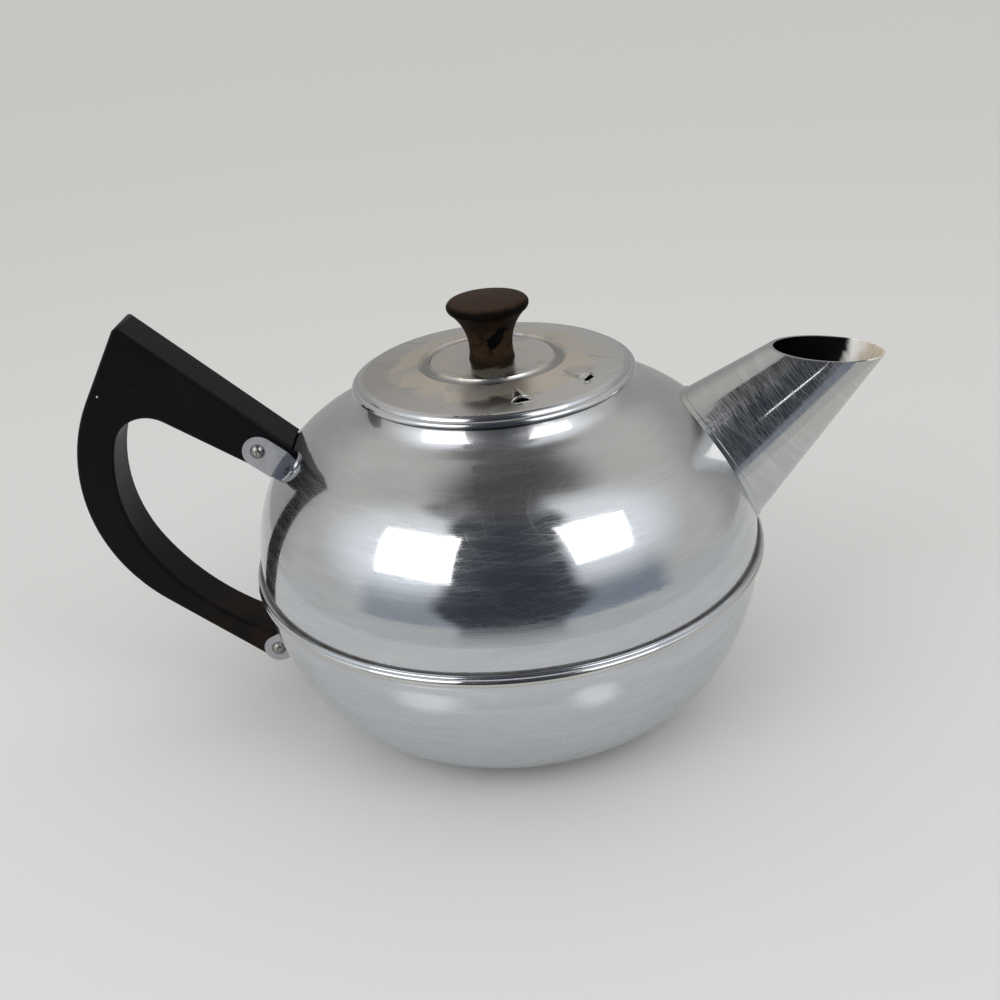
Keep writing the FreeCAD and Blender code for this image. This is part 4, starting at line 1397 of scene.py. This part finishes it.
@dataclass
class Handle(Assembly):
    """The moulded handle with its tabs, screws and nuts."""

    crisp: float = 35.0
    flat_sharp: float = 50.0
    tab_edge: float = 0.16
    tab_steps: int = 3
    grip_round: float = 1.9
    grip_cuts: int = 5
    mark_place: Point = (-104.1, -7.5, 114.2)
    mark_radius: float = 3.25
    mark_width: float = 0.2
    mark_rise: float = 0.06
    mark_steps: int = 64
    weld_place: Point = (-59.58, -20.95, 88.04)
    weld_facing: Point = (-0.661, -0.232, 0.714)
    weld_radius: float = 0.85
    weld_rise: float = 0.28
    weld_outline: tuple[Span, ...] = ((0, -1), (1, -1), (1, 0), (0.85, 0.6), (0.5, 1), (0, 0.8))
    weld_steps: int = 24

    def build(self) -> None:
        """Builds the handle, its tabs and small marks, and dresses the screws and nuts."""
        black = BlackMoulding().make()
        self.settle_flat("grip", self.round_top(self.merged("handle")), black, Slot.BLACK, "handle")
        self.settle("mould_mark", self.turn_mark(), black, Slot.BLACK)
        tab = TabMetal("tab_plate", (0.47, 0.48, 0.505), (0.14, 0.13, 0.12), gloss=0.3, dirtiness=0.25).make()
        steel = DullMetal(
            "screw_steel_worn", (0.42, 0.4, 0.37), (0.05, 0.038, 0.03), gloss=0.24, dirtiness=0.85,
        ).make()
        for end in ("upper", "lower"):
            for side in ("near", "far"):
                bracket = f"{end}_bracket_{side}"
                mesh = self.soften(self.merged(bracket))
                self.settle_flat(f"{end}_tab_{side}", mesh, tab, Slot.TAB, bracket)
            self.wear(steel, f"{end}_handle_screw", f"{end}_handle_nut")
        self.settle("weld_spot", self.turn_weld(), tab, Slot.TAB)

    def settle_flat(
        self, name: str, mesh: Mesh, material: Material, slot: Slot, node: str,
    ) -> None:
        """Settles a piece whose flat faces stay flat up to its rounded edges.

        Args:
            name: The piece's name.
            mesh: Its mesh, which is freed.
            material: Its material.
            slot: The record's slot that the material stands for.
            node: The CAD node that it replaces.
        """
        piece = self.settle(name, mesh, material, slot, node, sharp=self.flat_sharp)
        piece.modifiers.new("flat_faces", "WEIGHTED_NORMAL").keep_sharp = True

    def crisp_edges(self, mesh: Mesh) -> list[bmesh.types.BMEdge]:
        """The edges at which the mesh turns sharply."""
        return [edge for edge in mesh.edges if edge.calc_face_angle(0.0) > math.radians(self.crisp)]

    def round_top(self, mesh: Mesh) -> Mesh:
        """Rounds the handle's top corner, by cuts that touch one circle.

        Args:
            mesh: The handle's mesh.

        Returns:
            The same mesh.
        """
        mesh.normal_update()
        corner = max(self.crisp_edges(mesh), key=lambda edge: edge.calc_length())
        first, last = (face.normal.copy() for face in corner.link_faces)
        reach = self.grip_round * MM
        centre = corner.verts[0].co - (first + last) * (reach / (1.0 + first.dot(last)))
        for step in range(1, self.grip_cuts + 1):
            facing = first.slerp(last, step / (self.grip_cuts + 1))
            cut = bmesh.ops.bisect_plane(
                mesh, geom=mesh.verts[:] + mesh.edges[:] + mesh.faces[:], dist=SAME_POINT,
                plane_co=centre + facing * reach, plane_no=facing, clear_outer=True,
            )["geom_cut"]
            loop = [part for part in cut if isinstance(part, bmesh.types.BMEdge)]
            bmesh.ops.edgeloop_fill(mesh, edges=loop)
        bmesh.ops.recalc_face_normals(mesh, faces=mesh.faces[:])
        return mesh

    def soften(self, mesh: Mesh) -> Mesh:
        """Takes the keenness off a tab's sharp edges, by less than the edge asked where short edges stop it.

        Args:
            mesh: The tab's mesh.

        Returns:
            The same mesh.
        """
        bmesh.ops.bevel(
            mesh, geom=self.crisp_edges(mesh), offset=self.tab_edge * MM, offset_type="OFFSET",
            affect="EDGES", segments=self.tab_steps, profile=0.5, material=-1, clamp_overlap=True,
        )
        return mesh

    def turn_mark(self) -> Mesh:
        """Turns the faint round mark that the mould left on the near side.

        Returns:
            The mark's mesh.
        """
        pen = ProfilePen()
        inner = self.mark_radius - self.mark_width
        outer = self.mark_radius + self.mark_width
        pen.start(inner, -self.mark_rise)
        pen.line((self.mark_radius, self.mark_rise), (outer, -self.mark_rise), (inner, -self.mark_rise))
        mesh = pen.turn(self.mark_steps)
        move(mesh, turned("X", 90.0), self.mark_place)
        return mesh

    def turn_weld(self) -> Mesh:
        """Turns the weld's small dome on the near upper foot.

        Returns:
            The dome's mesh.
        """
        pen = ProfilePen()
        start, *rest = ((out * self.weld_radius, up * self.weld_rise) for out, up in self.weld_outline)
        pen.start(*start)
        pen.line(*rest)
        mesh = pen.turn(self.weld_steps)
        facing = Vector((0, 0, 1)).rotation_difference(Vector(self.weld_facing))
        move(mesh, facing.to_matrix(), self.weld_place)
        return mesh


@dataclass
class Lid(Assembly):
    """The lid with its vents' edges, its knob and the knob's fixing."""

    vents: tuple[tuple[str, float], ...] = (("front", -74.8), ("side", -34.5))
    edge_centre: Point = (31.92, 0.0, 107.28)
    edge_reach: float = 3.17
    edge_tilt: float = 18.5
    edge_sweep: float = 130.0
    edge_radius: float = 0.26
    edge_sides: int = 12
    edge_steps: int = 28
    sill_place: Point = (33.75, 0.0, 108.69)
    sill_length: float = 4.8

    def build(self) -> None:
        """Dresses the lid's pieces and builds the vents' edges."""
        self.wear(SatinLid().make(), "lid_top", "lid_skirt")
        bright = DullMetal(
            "vent_edge_rubbed", (0.62, 0.605, 0.58), (0.26, 0.23, 0.19), gloss=0.22, dirtiness=0.5,
        ).make()
        for name, angle in self.vents:
            self.settle(f"{name}_vent_edge", self.bend_edge(angle), bright, Slot.LID, body=Body.LID)
        self.wear(BrownMoulding().make(), "knob")
        brass = DullMetal(
            "insert_brass_plain", (0.72, 0.56, 0.3), (0.2, 0.13, 0.06), gloss=0.25, dirtiness=0.5,
        ).make()
        self.wear(brass, "knob_insert")
        steel = DullMetal(
            "knob_fixing_steel", (0.5, 0.48, 0.45), (0.06, 0.045, 0.035), gloss=0.26, dirtiness=0.6,
        ).make()
        self.wear(steel, "knob_screw", "knob_washer")

    def bend_edge(self, angle: float) -> Mesh:
        """Bends the rounded edge of a vent's arch and lays the sill below it.

        Args:
            angle: The vent's turn about the pot's axis, in degrees.

        Returns:
            The edge's mesh.
        """
        mesh = bmesh.new()
        upright = turned("X", 90.0)
        radius = self.edge_radius * MM
        bmesh.ops.create_circle(mesh, cap_ends=True, segments=self.edge_sides, radius=radius)
        move(mesh, upright, (0, 0, self.edge_reach))
        move(mesh, turned("X", -self.edge_sweep / 2))
        bmesh.ops.spin(
            mesh, geom=mesh.faces[:], cent=(0, 0, 0), axis=(1, 0, 0),
            angle=math.radians(self.edge_sweep), steps=self.edge_steps,
        )
        move(mesh, turned("Y", self.edge_tilt), self.edge_centre)
        sill = bmesh.ops.create_cone(
            mesh, cap_ends=True, segments=self.edge_sides, radius1=radius, radius2=radius,
            depth=self.sill_length * MM,
        )["verts"]
        move(mesh, upright, self.sill_place, sill)
        move(mesh, turned("Z", angle))
        bmesh.ops.recalc_face_normals(mesh, faces=mesh.faces[:])
        return mesh


def main() -> None:
    """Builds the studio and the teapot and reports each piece."""
    logging.basicConfig(level=logging.INFO, format="%(name)s: %(message)s")
    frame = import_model()
    Studio().build()
    for assembly in (Pot(frame), Spout(frame), Handle(frame), Lid(frame)):
        assembly.build()
        LOG.info("%s is built", type(assembly).__name__.lower())


if __name__ == "__main__":
    main()
